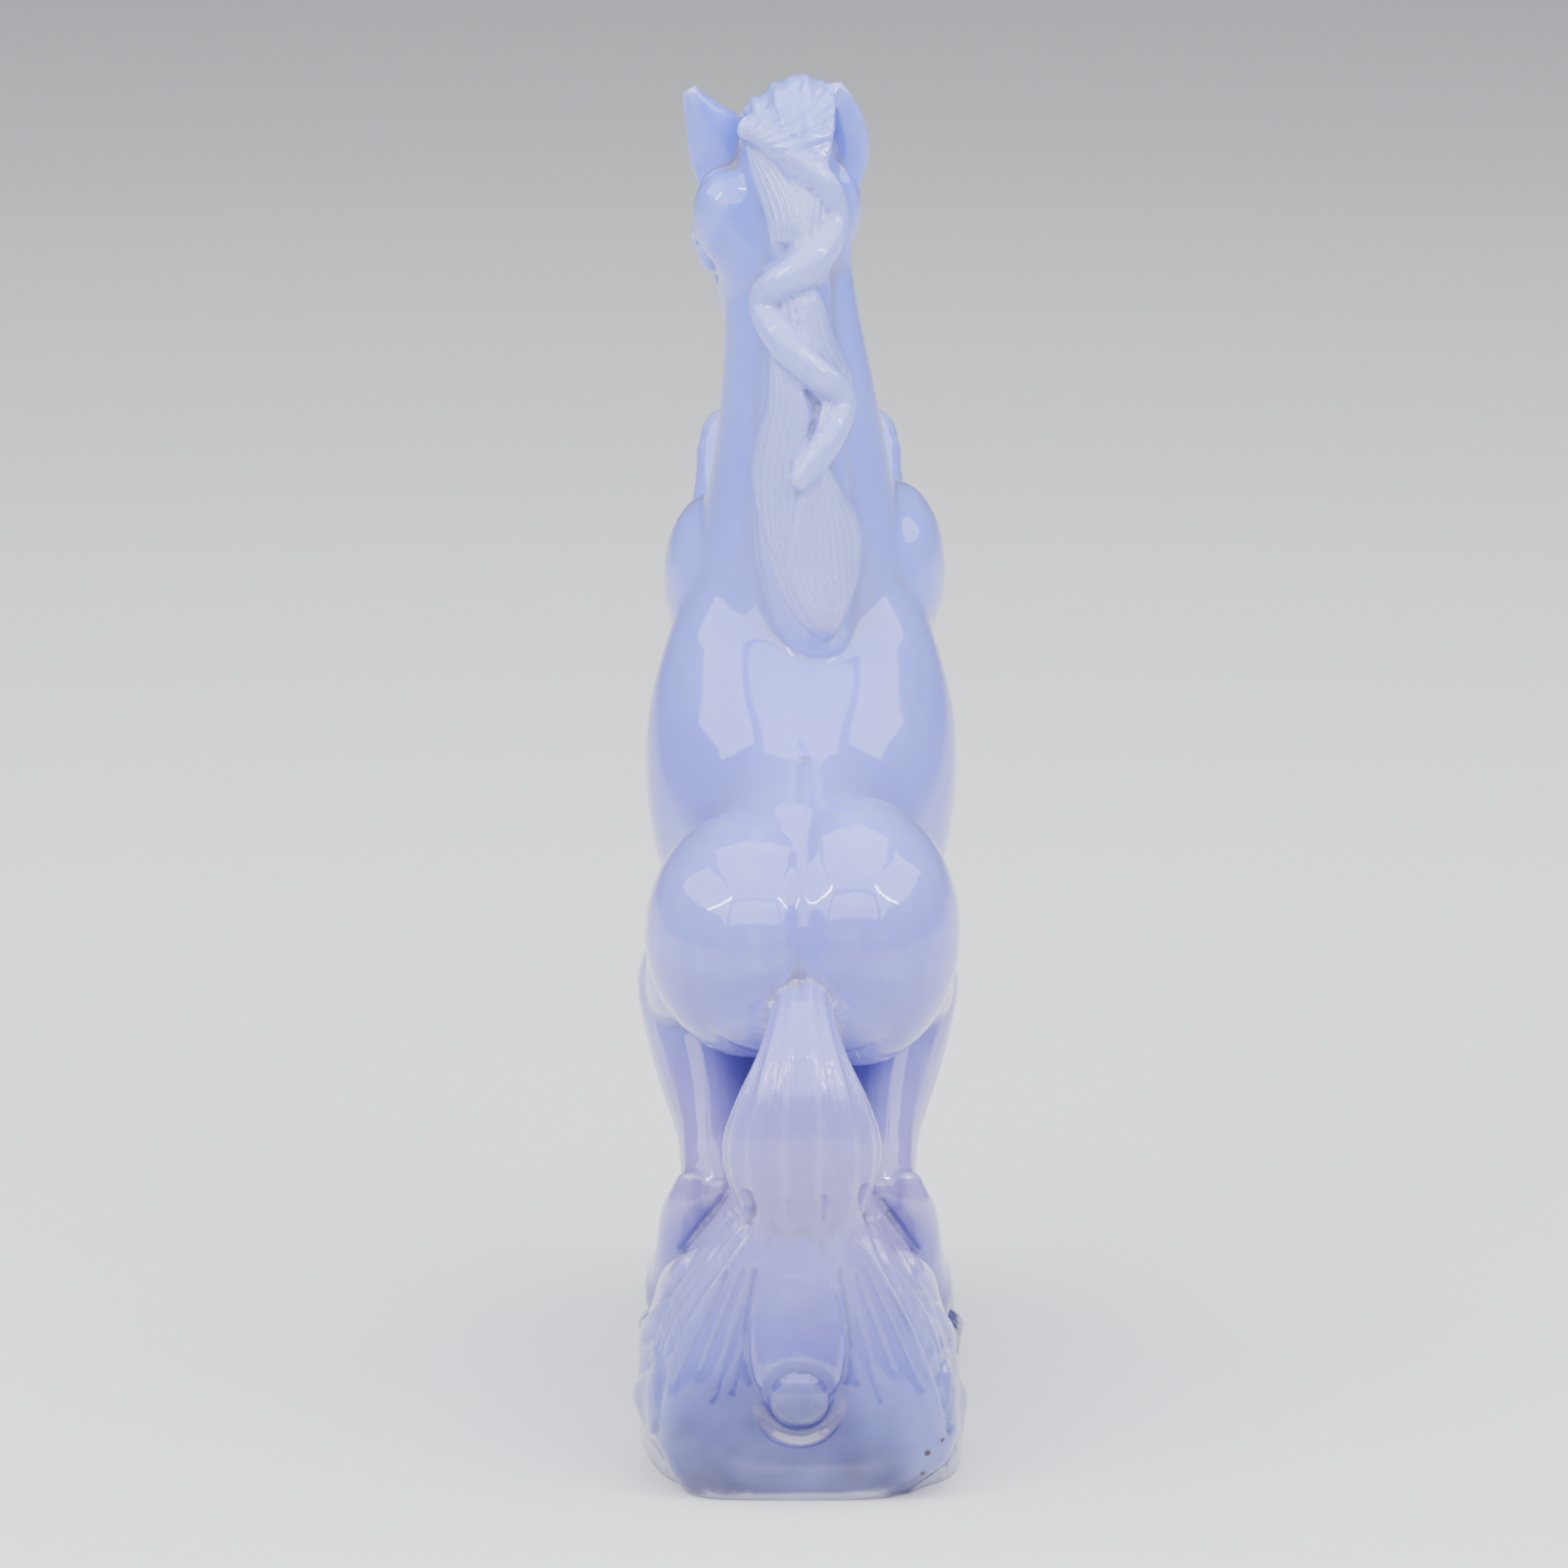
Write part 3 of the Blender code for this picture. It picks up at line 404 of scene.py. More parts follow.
def lower_foreleg(side, fold):
    """From the knee down. Fold swings it to the chest, in degrees."""
    shin = [
        (8.6, 52.4, 102.6, 45.8, 98.6, 3.4), (9.1, 53.4, 97.4, 47.6, 96, 2.9),
        (9.9, 53, 91.4, 48.4, 91, 2.3), (10.6, 52.6, 87.4, 48, 87.6, 2.4),
        (11, 52.4, 83.4, 46.6, 85.6, 3), (11.4, 49.6, 79.4, 45.2, 83.2, 2.5),
    ]
    hoof = [
        (11.5, 48.8, 78.4, 44, 83.4, 2.9), (11.8, 46.4, 75.2, 41.4, 81, 3.4),
        (12, 43.6, 71.8, 37.8, 78.6, 4.1),
    ]
    knee = np.array([8.4, 48.6, 101])
    swing = turned(math.radians(fold), 1, 2)[1:, 1:]

    def swung(stations):
        rows = np.asarray(stations, float).copy()
        lines = rows[:, 1:5].reshape(-1, 2, 2) - knee[1:]
        rows[:, 1:5] = (lines @ swing.T + knee[1:]).reshape(-1, 4)
        return on_side(rows, side, drift=0.2)

    return [muscle((side * knee[0] + 0.2, knee[1], knee[2]), (3.5, 3.9, 4.3)),
            loft(swung(shin)),
            loft(swung(hoof), squareness=2.4, dome=FLAT_DOME)]


def skull():
    stations = [
        (0, -2, 0.5, -2, -7, 5.4), (0, 2, 3.4, 1, -10.5, 7.8), (-0.2, 7, 4.7, 6, -12.8, 8.3),
        (-0.4, 12, 4.3, 11.5, -12.8, 7.7), (0, 18, 2.7, 17.5, -10.8, 6.6),
        (0, 24, 1.3, 24, -8.2, 5.2), (0, 30, 1.1, 30, -6.6, 4.7), (0, 34.5, 0.9, 34.5, -6.4, 5),
        (0, 37.8, -1.2, 37.6, -5.8, 4.1),
    ]
    forms = [loft(stations, place=in_head, squareness=2.3, bias=0.2)]
    for side in (-1, 1):
        forms.append(muscle((side * 4.5, 7.4, -5), (2.9, 6, 5.8), place=in_head))
        forms.append(muscle((side * 6.1, 3.4, -1.8), (3.8, 6.4, 5.2), place=in_head))
        forms.append(muscle((side * 7.2, 8.2, 0.4), (2.5, 4.4, 2.6), place=in_head))
    return forms + [muscle((1.8, 18, 139.5), (5.6, 7.6, 7.4))]


def face():
    """Lower jaw, eyes and nostrils."""
    jaw = [
        (0, 14, -6, 13, -12.4, 4.6), (0, 21, -5.2, 20.5, -11, 4.2), (0, 28, -5.6, 28, -9.8, 3.6),
        (0, 33, -6.4, 33, -10.4, 3.5), (0, 35.6, -7.2, 35.4, -10, 2.7),
    ]
    forms = [loft(jaw, place=in_head, squareness=2.2)]
    for side in (-1, 1):
        forms.append(muscle((side * 7.3, 10, -1.7), (1.7, 2.1, 1.6), place=in_head))
        forms.append(muscle((side * 3.2, 34.2, -1.3), (1.6, 2.4, 1.9), place=in_head))
    return forms


def ear(path, half_width, thick, cup, facing):
    """A leaf along the path, hollow in front: its section is a crescent of the given cup."""
    centre = spline(path, 17)
    along = unit(np.gradient(centre, axis=0))
    front = square_to(along, facing)
    flat = np.cross(along, front)
    shape = spline([[0.7], [1.0], [0.86], [0.5], [0.2]], len(centre))
    c, s = rounded(np.linspace(0, 2 * math.pi, 24, endpoint=False), 3.0)
    wide = half_width * shape * c[None]
    deep = (0.4 + 0.6 * shape) * (thick * s + cup * c ** 2)[None]
    rings = centre[:, None] + wide[..., None] * flat[:, None] + deep[..., None] * front[:, None]
    return domed(rings, centre, DOME / 2, in_figure)


def ears():
    left = [(6.8, 18.5, 135.2), (7.7, 18, 139.6), (9.3, 17, 142.8), (11.1, 16.2, 145.8),
            (12.6, 15.6, 148.6)]
    right = [(-3.2, 18.5, 135.4), (-4, 18, 140.5), (-4.1, 17, 144.3), (-4, 16.2, 147.2),
             (-3.7, 15.6, 149.2)]
    return [ear(left, 4.4, 1.15, 1.6, (0.35, 0.9, 0)), ear(right, 3.4, 1.15, 1.5, (-0.35, 0.9, 0))]


def forelock_locks():
    """Settings of the locks combed back over the poll from the forehead, in a fan."""
    paths = [
        [(0.6, 27.6, 132.4), (-0.8, 26, 138.6), (-1.5, 22, 144), (-1.7, 17, 147.8),
         (-1.9, 12, 145), (-1.8, 9, 139)],
        [(1.6, 28.6, 131.4), (0.8, 27, 138.4), (0.3, 22.6, 144.8), (0.1, 17, 148.5),
         (-0.6, 11.5, 145.4), (-1.2, 8.6, 139)],
        [(3, 28.4, 131.8), (2.6, 26.8, 138), (2.2, 22.4, 144.2), (1.9, 16.6, 147.8),
         (0.8, 11.4, 145), (-0.4, 8.6, 139)],
        [(4.4, 27.4, 133), (4.4, 25.6, 138), (4.3, 21.6, 143), (4.2, 16.6, 146.2),
         (2.8, 11.8, 144), (0.6, 8.8, 139.6)],
    ]
    return [{"path": path, "width": 2.2, "thick": 1.7, "across": (1, 0.15, 0), "flutes": 7,
             "flute_depth": 0.07, "taper": (0.3, 0.8, 1.0, 0.95, 0.5), "sides": 36}
            for path in paths]


def crest():
    """The ridge of the neck under the mane."""
    stations = [
        (-1.6, 1, 84, 8, 82, 2.4), (-1.4, -0.8, 89, 9, 87, 4), (-0.4, 1, 98, 12, 96, 5.4),
        (-0.2, 2.2, 107, 12, 106, 5.2), (0.2, 3.8, 118, 14, 116, 4.4),
        (0.4, 6, 128, 16, 125, 3.8), (0.4, 8, 137, 20, 134, 4.2),
        (0.8, 12.4, 143.6, 24, 140, 4.6),
    ]
    return [loft(stations)]


# Leaves of the mane from behind: two edges of (x, up), and (lift, ridge, rise)
MANE_LEAVES = [
    # on the withers
    ([(4.4, 99.5), (3, 95), (1.4, 91.6), (-0.6, 89.4), (-2.6, 88.2)],
     [(-1.4, 100.5), (-2.4, 96), (-3.4, 92.6), (-3.8, 90.4), (-3.9, 88.2)],
     (0.7, 0.3, 0.2)),
    # left leaf, right leaf
    ([(3.6, 121), (3.9, 115), (4.8, 111.6), (5.5, 108), (5.5, 104.5), (4.6, 100.4), (3, 97)],
     [(1.4, 120), (-0.8, 114.6), (-0.6, 110.6), (0, 107), (0.3, 104), (1, 100), (1.8, 97)],
     (1.1, 0.12, 0.5)),
    ([(-0.6, 109), (0.4, 104), (1.6, 100.4), (2.4, 97), (1.4, 94), (-0.4, 91), (-2.2, 88.8)],
     [(-2.4, 109), (-4.4, 105.2), (-6, 102), (-6.9, 99), (-6.9, 96), (-6.2, 92.6), (-3.6, 88.2)],
     (1.4, 0.88, 0.5)),
    # the twists, from the lowest to the highest
    ([(-2.4, 115.2), (-1.8, 113), (-1.2, 110.2), (0.2, 107.6), (1.4, 105.4)],
     [(-5.9, 116), (-4.7, 113.4), (-3.8, 110.6), (-2.4, 107.6), (-0.4, 104.8)],
     (1.6, 0.4, 0.3)),
    ([(4.6, 128), (4.9, 125.6), (4.2, 122.6), (2.4, 119.8), (0, 117), (-2.6, 114.4)],
     [(-1.6, 127.4), (-2.8, 125.2), (-3.6, 122), (-4.8, 119), (-5.9, 116.4), (-5.4, 114.2)],
     (1.2, 0.5, 0.2)),
    ([(-0.8, 138.6), (-0.2, 136.2), (0.5, 133.8), (1.9, 131.2), (4.6, 129)],
     [(-4, 138.2), (-4.6, 135), (-4.4, 132), (-2.8, 128.4), (2.6, 126.4)],
     (1.3, 0.6, 0.2)),
    ([(6.6, 144), (6.2, 141), (5.2, 137.8), (4.2, 135), (3.6, 132)],
     [(5.2, 145), (2, 142.6), (-1.2, 140), (-2.6, 137), (-1.6, 132.6)],
     (1, 0.5, 0.1)),
]
WINDING = [(6.2, 144.6), (4.2, 143.8), (1, 142), (-1.8, 139.4), (-3.3, 136.2), (-2.8, 132.8),
           (-0.4, 130), (2.4, 127.9), (3.9, 126), (3.3, 123.6), (1.4, 121), (-0.8, 118.8),
           (-3, 116.8), (-4.2, 114.9), (-3.8, 112.6), (-2.8, 110.4), (-1.4, 108.2), (0.2, 105.8)]


def winding_lock(lay):
    """Settings of the thick lock that winds down over the mane, its path laid on the body."""
    line = lay(spline(WINDING, (len(WINDING) - 1) * 8 + 1), 0.9)
    outward = lay(np.zeros((1, 2)), 1.0) - lay(np.zeros((1, 2)), 0.0)
    return {"path": line, "width": 2.0, "thick": 1.75, "steps": 1,
            "across": np.cross(np.gradient(line, axis=0), outward),
            "taper": (0.8, 1.0, 1.1, 1.0, 1.0, 0.7)}


def tail_bulb():
    """From the dock out and down in a full bulb, drawn in above the rock."""
    bulb = [
        (0, -28, 58.5, -27, 49, 3), (0, -35, 57.4, -32, 49.5, 3.4),
        (0, -41, 53.6, -34, 46.5, 4.7), (0, -45.2, 48, -34.5, 43, 7),
        (0, -46.6, 42, -34.5, 40, 8.5), (0, -46, 37, -33.5, 37, 8.3),
        (0, -44, 33.4, -32.5, 33.6, 7.4), (0, -42.6, 30, -31.5, 30, 7),
        (0, -42.8, 26, -30.5, 26, 8),
    ]
    return {"stations": bulb, "squareness": 2.2, "sides": 84, "flutes": 14, "flute_depth": 0.03}


# The rock, and the hair and waves that lie on it

UP_THE_NECK = (0, -0.5, 0.2)


def rock():
    return [loft([
        (-0.03, -0.92, 1.2, -0.86, -1.6, 0.68), (-0.04, -0.78, 2.1, -0.76, -1.6, 0.9),
        (0, -0.45, 1.6, -0.45, -1.6, 1), (0, 0, 1.3, 0, -1.6, 1),
        (0, 0.4, 1.5, 0.4, -1.6, 0.98), (0, 0.75, 1.35, 0.75, -1.6, 0.84),
        (0, 0.94, 0.9, 0.92, -1.6, 0.52),
    ], place=in_rock, squareness=3.2, sides=40)]


def fan():
    """The tail's hair spread over the rear of the rock: a middle field over wider side bands."""
    middle = [
        (0, -42.6, 34, -30, 34, 6.4), (0, -42.6, 30, -29, 30, 7.6), (0, -43, 26, -28, 26, 10.4),
        (0, -43.6, 20, -27, 20, 13.7), (0, -44.4, 14, -26, 14, 15.8), (0, -44.8, 8, -25, 8, 16.9),
        (-0.6, -44.8, 4, -24, 4, 16.2), (0.7, -43.8, 0.6, -24, 0.6, 13.3),
        (0.8, -42, -1.5, -24, -1.5, 11.6),
    ]
    return [loft(middle, squareness=4.5, sides=48), loft([
        (0, -41.6, 34, -27, 34, 7.2), (0.1, -41.4, 30, -25, 30, 9.4),
        (0.3, -41.6, 25.6, -23, 25.6, 12.4), (0.5, -42.4, 20, -20, 20, 15.2),
        (0.5, -43.2, 14.6, -18, 14.6, 16.9), (0.2, -43.8, 8, -17, 8, 17.9),
        (-0.5, -43.4, 4, -16, 4, 17.4), (-1, -42.2, 0.6, -14, 0.6, 15.9),
        (-1, -40.2, -1.5, -14, -1.5, 14.8),
    ], squareness=2.3, sides=48)]


def fan_lobe():
    """The tongue of hair down the middle of the fan, fuller towards its round end."""
    tongue = [(0.4, -39.6, 35), (0.8, -41.6, 29), (0.8, -42.6, 24), (0.6, -43.4, 18.6),
              (0.4, -44.8, 13.8), (0.3, -44.7, 10.6), (0.3, -43.2, 8.6)]
    return [lock(tongue, 5.8, 2.4, taper=(0.64, 0.70, 0.88, 1.0, 0.84, 0.66, 0.36), steps=6)]


def fan_edges():
    """The bands of hair down both sides of the fan, raised at their outer edge and combed."""
    left = ([(7.6, 31.6), (10.1, 28.4), (12.9, 24.8), (15.2, 20.4), (16.4, 17), (17, 14.5)],
            [(5.8, 30.2), (9.6, 24.9), (13, 19.5), (14.8, 15.2), (15.7, 11.5), (16.1, 7.5)])
    right = ([(-7.9, 30.8), (-10.8, 26.2), (-13.8, 21.6), (-15.9, 16.5), (-16.8, 12.5)],
             [(-6.6, 29.4), (-10, 24), (-13.4, 16.9), (-15, 12), (-16, 8.3)])
    shape = (0.8, 0.05, 0.6)
    return [(outer, inner, shape) for outer, inner in (left, right)]


def wave():
    """The mound of water between the legs that climbs to the belly and carries it."""
    return [loft([
        (0, 36, 4, -27, 4, 14.4), (0, 35, 12, -27, 13, 13.2), (0, 32, 22, -24, 22, 11.6),
        (0, 26, 33, -18, 31, 9.8), (0, 20, 43, -13, 39, 8), (0, 12, 50, -8, 46, 6.4),
    ], squareness=2.4)]


def falling_water():
    """Bands of water down the mound's sides and front, from under the belly to the rock's rim."""
    falls = [
        ([(16, 44), (19, 34), (24, 22), (31, 10), (38, 3)],
         [(8, 42), (11, 32), (15, 21), (20, 10), (26, 2)]),
        ([(9, 40), (11, 31), (14, 21), (19, 11), (26, 3)],
         [(2, 37), (3, 28), (5, 18), (8, 9), (13, 2)]),
        ([(2, 34), (3, 26), (4, 18), (7, 10), (13, 3)],
         [(-4, 31), (-4, 23), (-4, 14), (-2, 7), (1, 2)]),
    ]
    front = np.array([[(-1, 44), (-1, 34), (-1, 22), (-1, 12), (-1, 3)],
                      [(6, 44), (7.6, 34), (9.4, 22), (11, 12), (12.5, 3)]])
    shape = (0.9, 0.3, 0.9)
    shape_front = (0.8, 0.5, 0.8)
    return ([(first, second, shape) for first, second in falls],
            [(*(front * (side, 1)), shape_front) for side in (1, -1)])


def side_folds():
    """Hair of the fan that laps round the rock's sides in layers."""
    folds = [
        ([(-36, 27), (-30, 24), (-23, 22), (-15, 21.5)],
         [(-40, 21), (-32, 17.5), (-24, 15.5), (-15, 16)]),
        ([(-38, 24), (-31, 18), (-23, 15.5), (-14, 16)],
         [(-42, 17), (-34, 11.5), (-25, 9), (-14, 11)]),
        ([(-40, 16), (-33, 11), (-24, 8.5), (-13, 9)],
         [(-43, 9), (-36, 4.5), (-26, 2.4), (-14, 4)]),
    ]
    shape = (0.5, 0.25, 0.5)
    return [(first, second, shape) for first, second in folds]


def soft_forms():
    """Forms that flow into one another."""
    return trunk() + neck() + crest() + haunches() + hips() + breast() + skull()


def crisp_forms():
    """Forms that keep their creases."""
    forms = legs_to_hock() + upper_arms() + face() + ears()
    forms += [lock(**shape) for shape in forelock_locks()]
    forms += [loft(**tail_bulb())] + hind_feet() + fan_lobe()
    return forms + lower_foreleg(1, -4) + lower_foreleg(-1, 6)


def laid_leaves(body, base):
    """Every leaf with its kind, the way it faces and the relief under it, and the body's relief
    from behind. Body and base are points of the two soft skins, in figure units."""
    behind = shown_from(body, [0, 2], 1, -1)
    left, right = (shown_from(base, [1, 2], 0, side) for side in (1, -1))
    front, back = (shown_from(base, [0, 2], 1, side) for side in (1, -1))
    falls, front_falls = falling_water()
    laid = [("mane", UP_THE_NECK, behind, MANE_LEAVES),
            ("water", (1, 0, 0), left, falls), ("water", (-1, 0, 0), right, falls),
            ("water", (0, 1, 0), front, front_falls), ("edge", (0, -1, 0), back, fan_edges()),
            ("fold", (1, 0, 0), left, side_folds()), ("fold", (-1, 0, 0), right, side_folds())]
    return [(kind, way, first, second, lay, shape)
            for kind, way, lay, leaves in laid for first, second, shape in leaves], behind


# Hair, and the burr's fine cuts

ROWS_AT_ONCE = 4000


def nearest(points, grid):
    """For each point, the index of the nearest grid point and the distance to it."""
    place, gap = np.zeros(len(points), int), np.full(len(points), np.inf)
    grid = grid.astype(np.float32)
    size = (grid ** 2).sum(axis=1)
    for start in range(0, len(points), ROWS_AT_ONCE):
        rows = slice(start, start + ROWS_AT_ONCE)
        some = points[rows].astype(np.float32)
        away = size[None] - 2 * some @ grid.T + (some ** 2).sum(axis=1)[:, None]
        place[rows] = away.argmin(axis=1)
        gap[rows] = np.sqrt(np.maximum(away.min(axis=1), 0))
    return place, gap


def ramp(values, start, end):
    """0 at the start and 1 at the end, with a smooth change between."""
    t = np.clip((values - start) / (end - start), 0, 1)
    return t * t * (3 - 2 * t)


# How far off its grid and its own way a comb still marks the stone
COMB_REACH = 1.6
COMB_MARGIN = 1.2
COMB_TURNED_AWAY, COMB_FACING = -0.1, 0.35


def combed(points, normals, forms):
    """Strand number, counted across the hairs, how deep they are cut, and how matt and pale the
    burr left them, both from 0 to 1: those of the nearest point of the forms' grids. Both fade
    over the last unit of the comb's reach and where the surface turns away from the form's way."""
    strand, hair, pale = np.zeros((3, len(points)))
    closest = np.full(len(points), COMB_REACH)
    for grid, numbers, weights, way, paleness in forms:
        low, high = grid.min(axis=0) - COMB_MARGIN, grid.max(axis=0) + COMB_MARGIN
        near = np.flatnonzero(((points > low) & (points < high)).all(axis=1))
        place, gap = nearest(points[near] - low, grid - low)
        won = gap < closest[near]
        near, place, gap = near[won], place[won], gap[won]
        closest[near] = gap
        strand[near] = numbers[place]
        facing = ramp(normals[near] @ np.array(way), COMB_TURNED_AWAY, COMB_FACING)
        share = np.clip(COMB_REACH - gap, 0, 1) * facing
        hair[near] = weights[place] * share
        pale[near] = paleness * share
    return strand, hair, pale


def leaf_hairs(leaf_of_hair, spacing, weight, paleness, steps=10, across=81):
    """Hairs from end to end of a leaf: the strand number is the distance from the first edge over
    the spacing, and the weight is 0 at the edges."""
    _, way, first, second, lay, (lift, _, rise) = leaf_of_hair
    u = np.linspace(0, 1, across)
    where = between(first, second, u, steps)
    grid = lay(where, np.full(where.shape[:2], lift + rise / 2))
    wide = np.linalg.norm(where[:, -1] - where[:, 0], axis=1).max()
    numbers = np.broadcast_to(u * wide / spacing, where.shape[:2])
    weights = np.broadcast_to(weight * np.minimum(1, 8 * u * (1 - u)), where.shape[:2])
    return grid.reshape(-1, 3), numbers.ravel(), weights.ravel(), way, paleness


def lock_hairs(middle_and_rings, count, weight, paleness):
    """Hairs along a lock: the strand number is the share of a turn round it times the count."""
    rings = middle_and_rings[1]
    turns = np.linspace(0, count, rings.shape[1], endpoint=False)
    numbers = np.broadcast_to(turns, rings.shape[:2]).ravel()
    return rings.reshape(-1, 3), numbers, np.full(numbers.size, weight), UP_THE_NECK, paleness


# Units between hairs, then how deep and how pale they are, both from 0 to 1
LEAF_HAIRS = {"mane": (0.85, 0.8, 1.0), "fold": (1.7, 0.12, 0.2), "edge": (1.5, 0.3, 0.3),
              "water": (2.6, 0.5, 0.1)}
# Hairs round a lock, then as above
WINDING_HAIRS = 12, 0.12, 0.8
FORELOCK_HAIRS = 14, 0.0, 0.45
TAIL_HAIRS = 34, 0.28, 0.3
LOCK_GRID, TAIL_GRID = 60, 168


def hair_forms(leaves, behind):
    """All that is combed: the leaves by kind, then the winding lock, the forelock and the tail, on
    rings without their flutes."""
    forms = [leaf_hairs(laid, *LEAF_HAIRS[laid[0]]) for laid in leaves]
    winding = lock_rings(**{**winding_lock(behind), "sides": LOCK_GRID})
    forms.append(lock_hairs(winding, *WINDING_HAIRS))
    for shape in forelock_locks():
        plain = lock_rings(**{**shape, "flutes": 0, "sides": LOCK_GRID})
        forms.append(lock_hairs(plain, *FORELOCK_HAIRS))
    plain = loft_rings(**{**tail_bulb(), "flutes": 0, "sides": TAIL_GRID})
    return forms + [lock_hairs(plain, *TAIL_HAIRS)]


def distance_to(places, path, reach=2.5):
    """Distance of places in a plane to the spline through the path's points, within reach."""
    line = spline(path, (len(path) - 1) * 24 + 1)
    gap = np.full(len(places), np.inf)
    low, high = line.min(axis=0) - reach, line.max(axis=0) + reach
    near = np.flatnonzero(((places > low) & (places < high)).all(axis=1))
    gap[near] = nearest(places[near] - low, line - low)[1]
    return gap


def cut_depth(places, cuts):
    """The deepest of the burr's cuts (path, depth, half width) at each place: each is a bell curve
    of the distance to its path."""
    depth = np.zeros(len(places))
    for path, deep, wide in cuts:
        depth = np.maximum(depth, deep * np.exp(-(distance_to(places, path) / wide) ** 2))
    return depth


# Where hairs spread from, seen from behind: (x, up)
FAN_FOCUS = (0.3, 43.0)
TUFT_FOCUS = (8.0, 142.4)


def fan_cuts():
    """Cuts of the fan from behind: the edges of its middle and tongue, the creases where the tail
    is drawn in, and hairs from the focus, each at a slope, from its top to its bottom."""
    cuts = [
        ([(6.1, 31.4), (10.3, 25.2), (13.6, 19.5), (15.2, 15.2), (16, 11.5), (16.4, 7)],
         0.55, 0.42),
        ([(-7.6, 31), (-10.6, 24.3), (-14.2, 16.9), (-15.8, 12), (-16.6, 7.5)], 0.55, 0.42),
        ([(5.3, 26.6), (6, 23), (6.2, 19.4), (5.9, 15.6), (4.7, 12.6)], 0.34, 0.4),
        ([(-4.2, 26.5), (-4.9, 23), (-5.3, 19.4), (-5, 15.6), (-4, 12.6)], 0.34, 0.4),
        ([(6, 35.4), (5.6, 33.4), (6.3, 31.4)], 0.8, 0.45),
        ([(-7, 36), (-6.8, 33.6), (-7.7, 31)], 0.8, 0.45),
        ([(-2.5, 35.6), (-2.6, 33.8), (-2.4, 32.4)], 0.35, 0.3),
        ([(1.4, 35), (1.4, 33.4), (1.2, 32.2)], 0.2, 0.3),
    ]
    hairs = [(0.62, 27, 14), (0.55, 25, 15), (0.47, 26, 13), (0.39, 27, 15), (0.31, 24, 12),
             (0.25, 22, 13), (-0.22, 24, 14), (-0.29, 27, 12), (-0.37, 26, 15), (-0.45, 27, 13),
             (-0.53, 24, 15), (-0.60, 23, 14)]
    for slope, top, bottom in hairs:
        up = np.linspace(top, bottom, 5)
        x = FAN_FOCUS[0] + slope * (FAN_FOCUS[1] - up)
        cuts.append((np.stack([x, up], axis=-1), 0.2, 0.26))
    return cuts


def band_cuts():
    """Combed cuts of the fan's side bands, at shares of the way from the rim to the middle."""
    left = ([(9, 31), (12.2, 26.5), (15, 21.6), (16.6, 16.8)],
            [(6.8, 31), (10.8, 25.6), (14, 20), (15.8, 15)])
    right = ([(-9.2, 30.4), (-12, 26), (-14.8, 21), (-16.6, 16)],
             [(-8, 30.6), (-11, 24.6), (-14.2, 18.4), (-15.6, 14)])
    return [(outer * (1 - u) + inner * u, 0.3, 0.28)
            for outer, inner in (np.array(left), np.array(right)) for u in (0.1, 0.45, 0.8)]


# The soft furrow between the buttocks, down to the dock
CROUP_CUT = ([(-0.5, 80), (-0.4, 73), (0.1, 66), (0.6, 57)], 0.42, 1.1)


def tuft_cuts():
    """Shell-like ribs of the forelock from behind: from the focus, bent more as they run."""
    cuts = []
    for turn in np.radians([4, 19, 33, 47, 60, 73, 88]):
        run = np.linspace(2, 14.5, 6)
        bent = turn + 0.018 * (run - 6)
        x = TUFT_FOCUS[0] - run * np.cos(bent) * 0.98
        up = TUFT_FOCUS[1] + run * np.sin(bent) * 0.62
        cuts.append((np.stack([x, up], axis=-1), 0.17, 0.32))
    return cuts


def head_cuts():
    """Cuts on a side of the face, in head units (along, out): mouth, lids, cheek and brow."""
    return [
        ([(37.4, -5.6), (35, -5.9), (32, -6.1), (29.2, -6.9)], 0.5, 0.32),
        ([(7.4, -1.7), (8.6, -0.2), (10.2, 0.1), (11.9, -0.9), (12.9, -2.4)], 0.45, 0.36),
        ([(7.4, -1.8), (8.8, -3.3), (10.6, -3.7), (12.2, -3.1), (12.9, -2.4)], 0.4, 0.34),
        ([(4, -9.6), (7.5, -12), (12, -12.4), (15.5, -10.2), (16.6, -7)], 0.3, 0.6),
        ([(6.4, 1.2), (8.4, 2.3), (10.8, 2.2)], 0.25, 0.4),
    ]


HAIR_DEPTH = 0.22
# How squarely a surface faces a side, from where its cuts start to where they are whole
FACING = 0.02, 0.3
# Where the fan, croup, tuft and head lie, in figure units. The tuft's cuts fade at its sides.
FAN_FRONT, FAN_TOP = -27, 37
CROUP_FRONT, CROUP_BOTTOM = -12, 56
TUFT_FRONT, TUFT_BOTTOM = 24, 137.5
TUFT_RIGHT, TUFT_LEFT = (-4.3, -3.5), (6.8, 6.0)
HEAD_BACK = 20
# The face along the nose and the lowest of its cuts, in head units
FACE_START, FACE_END, FACE_UNDER = 3, 39, -14
# The knob at the tongue's end
KNOB = np.array([0.3, 12.0])
KNOB_RADIUS = 3.9
KNOB_DEPTH = 0.75
KNOB_RIM = 0.22
# The left nostril, in head units
NOSTRIL = np.array([4.5, 35.4, -1.6])
NOSTRIL_REACH = np.array([2.0, 1.3, 0.9])
NOSTRIL_DEPTH = 0.9


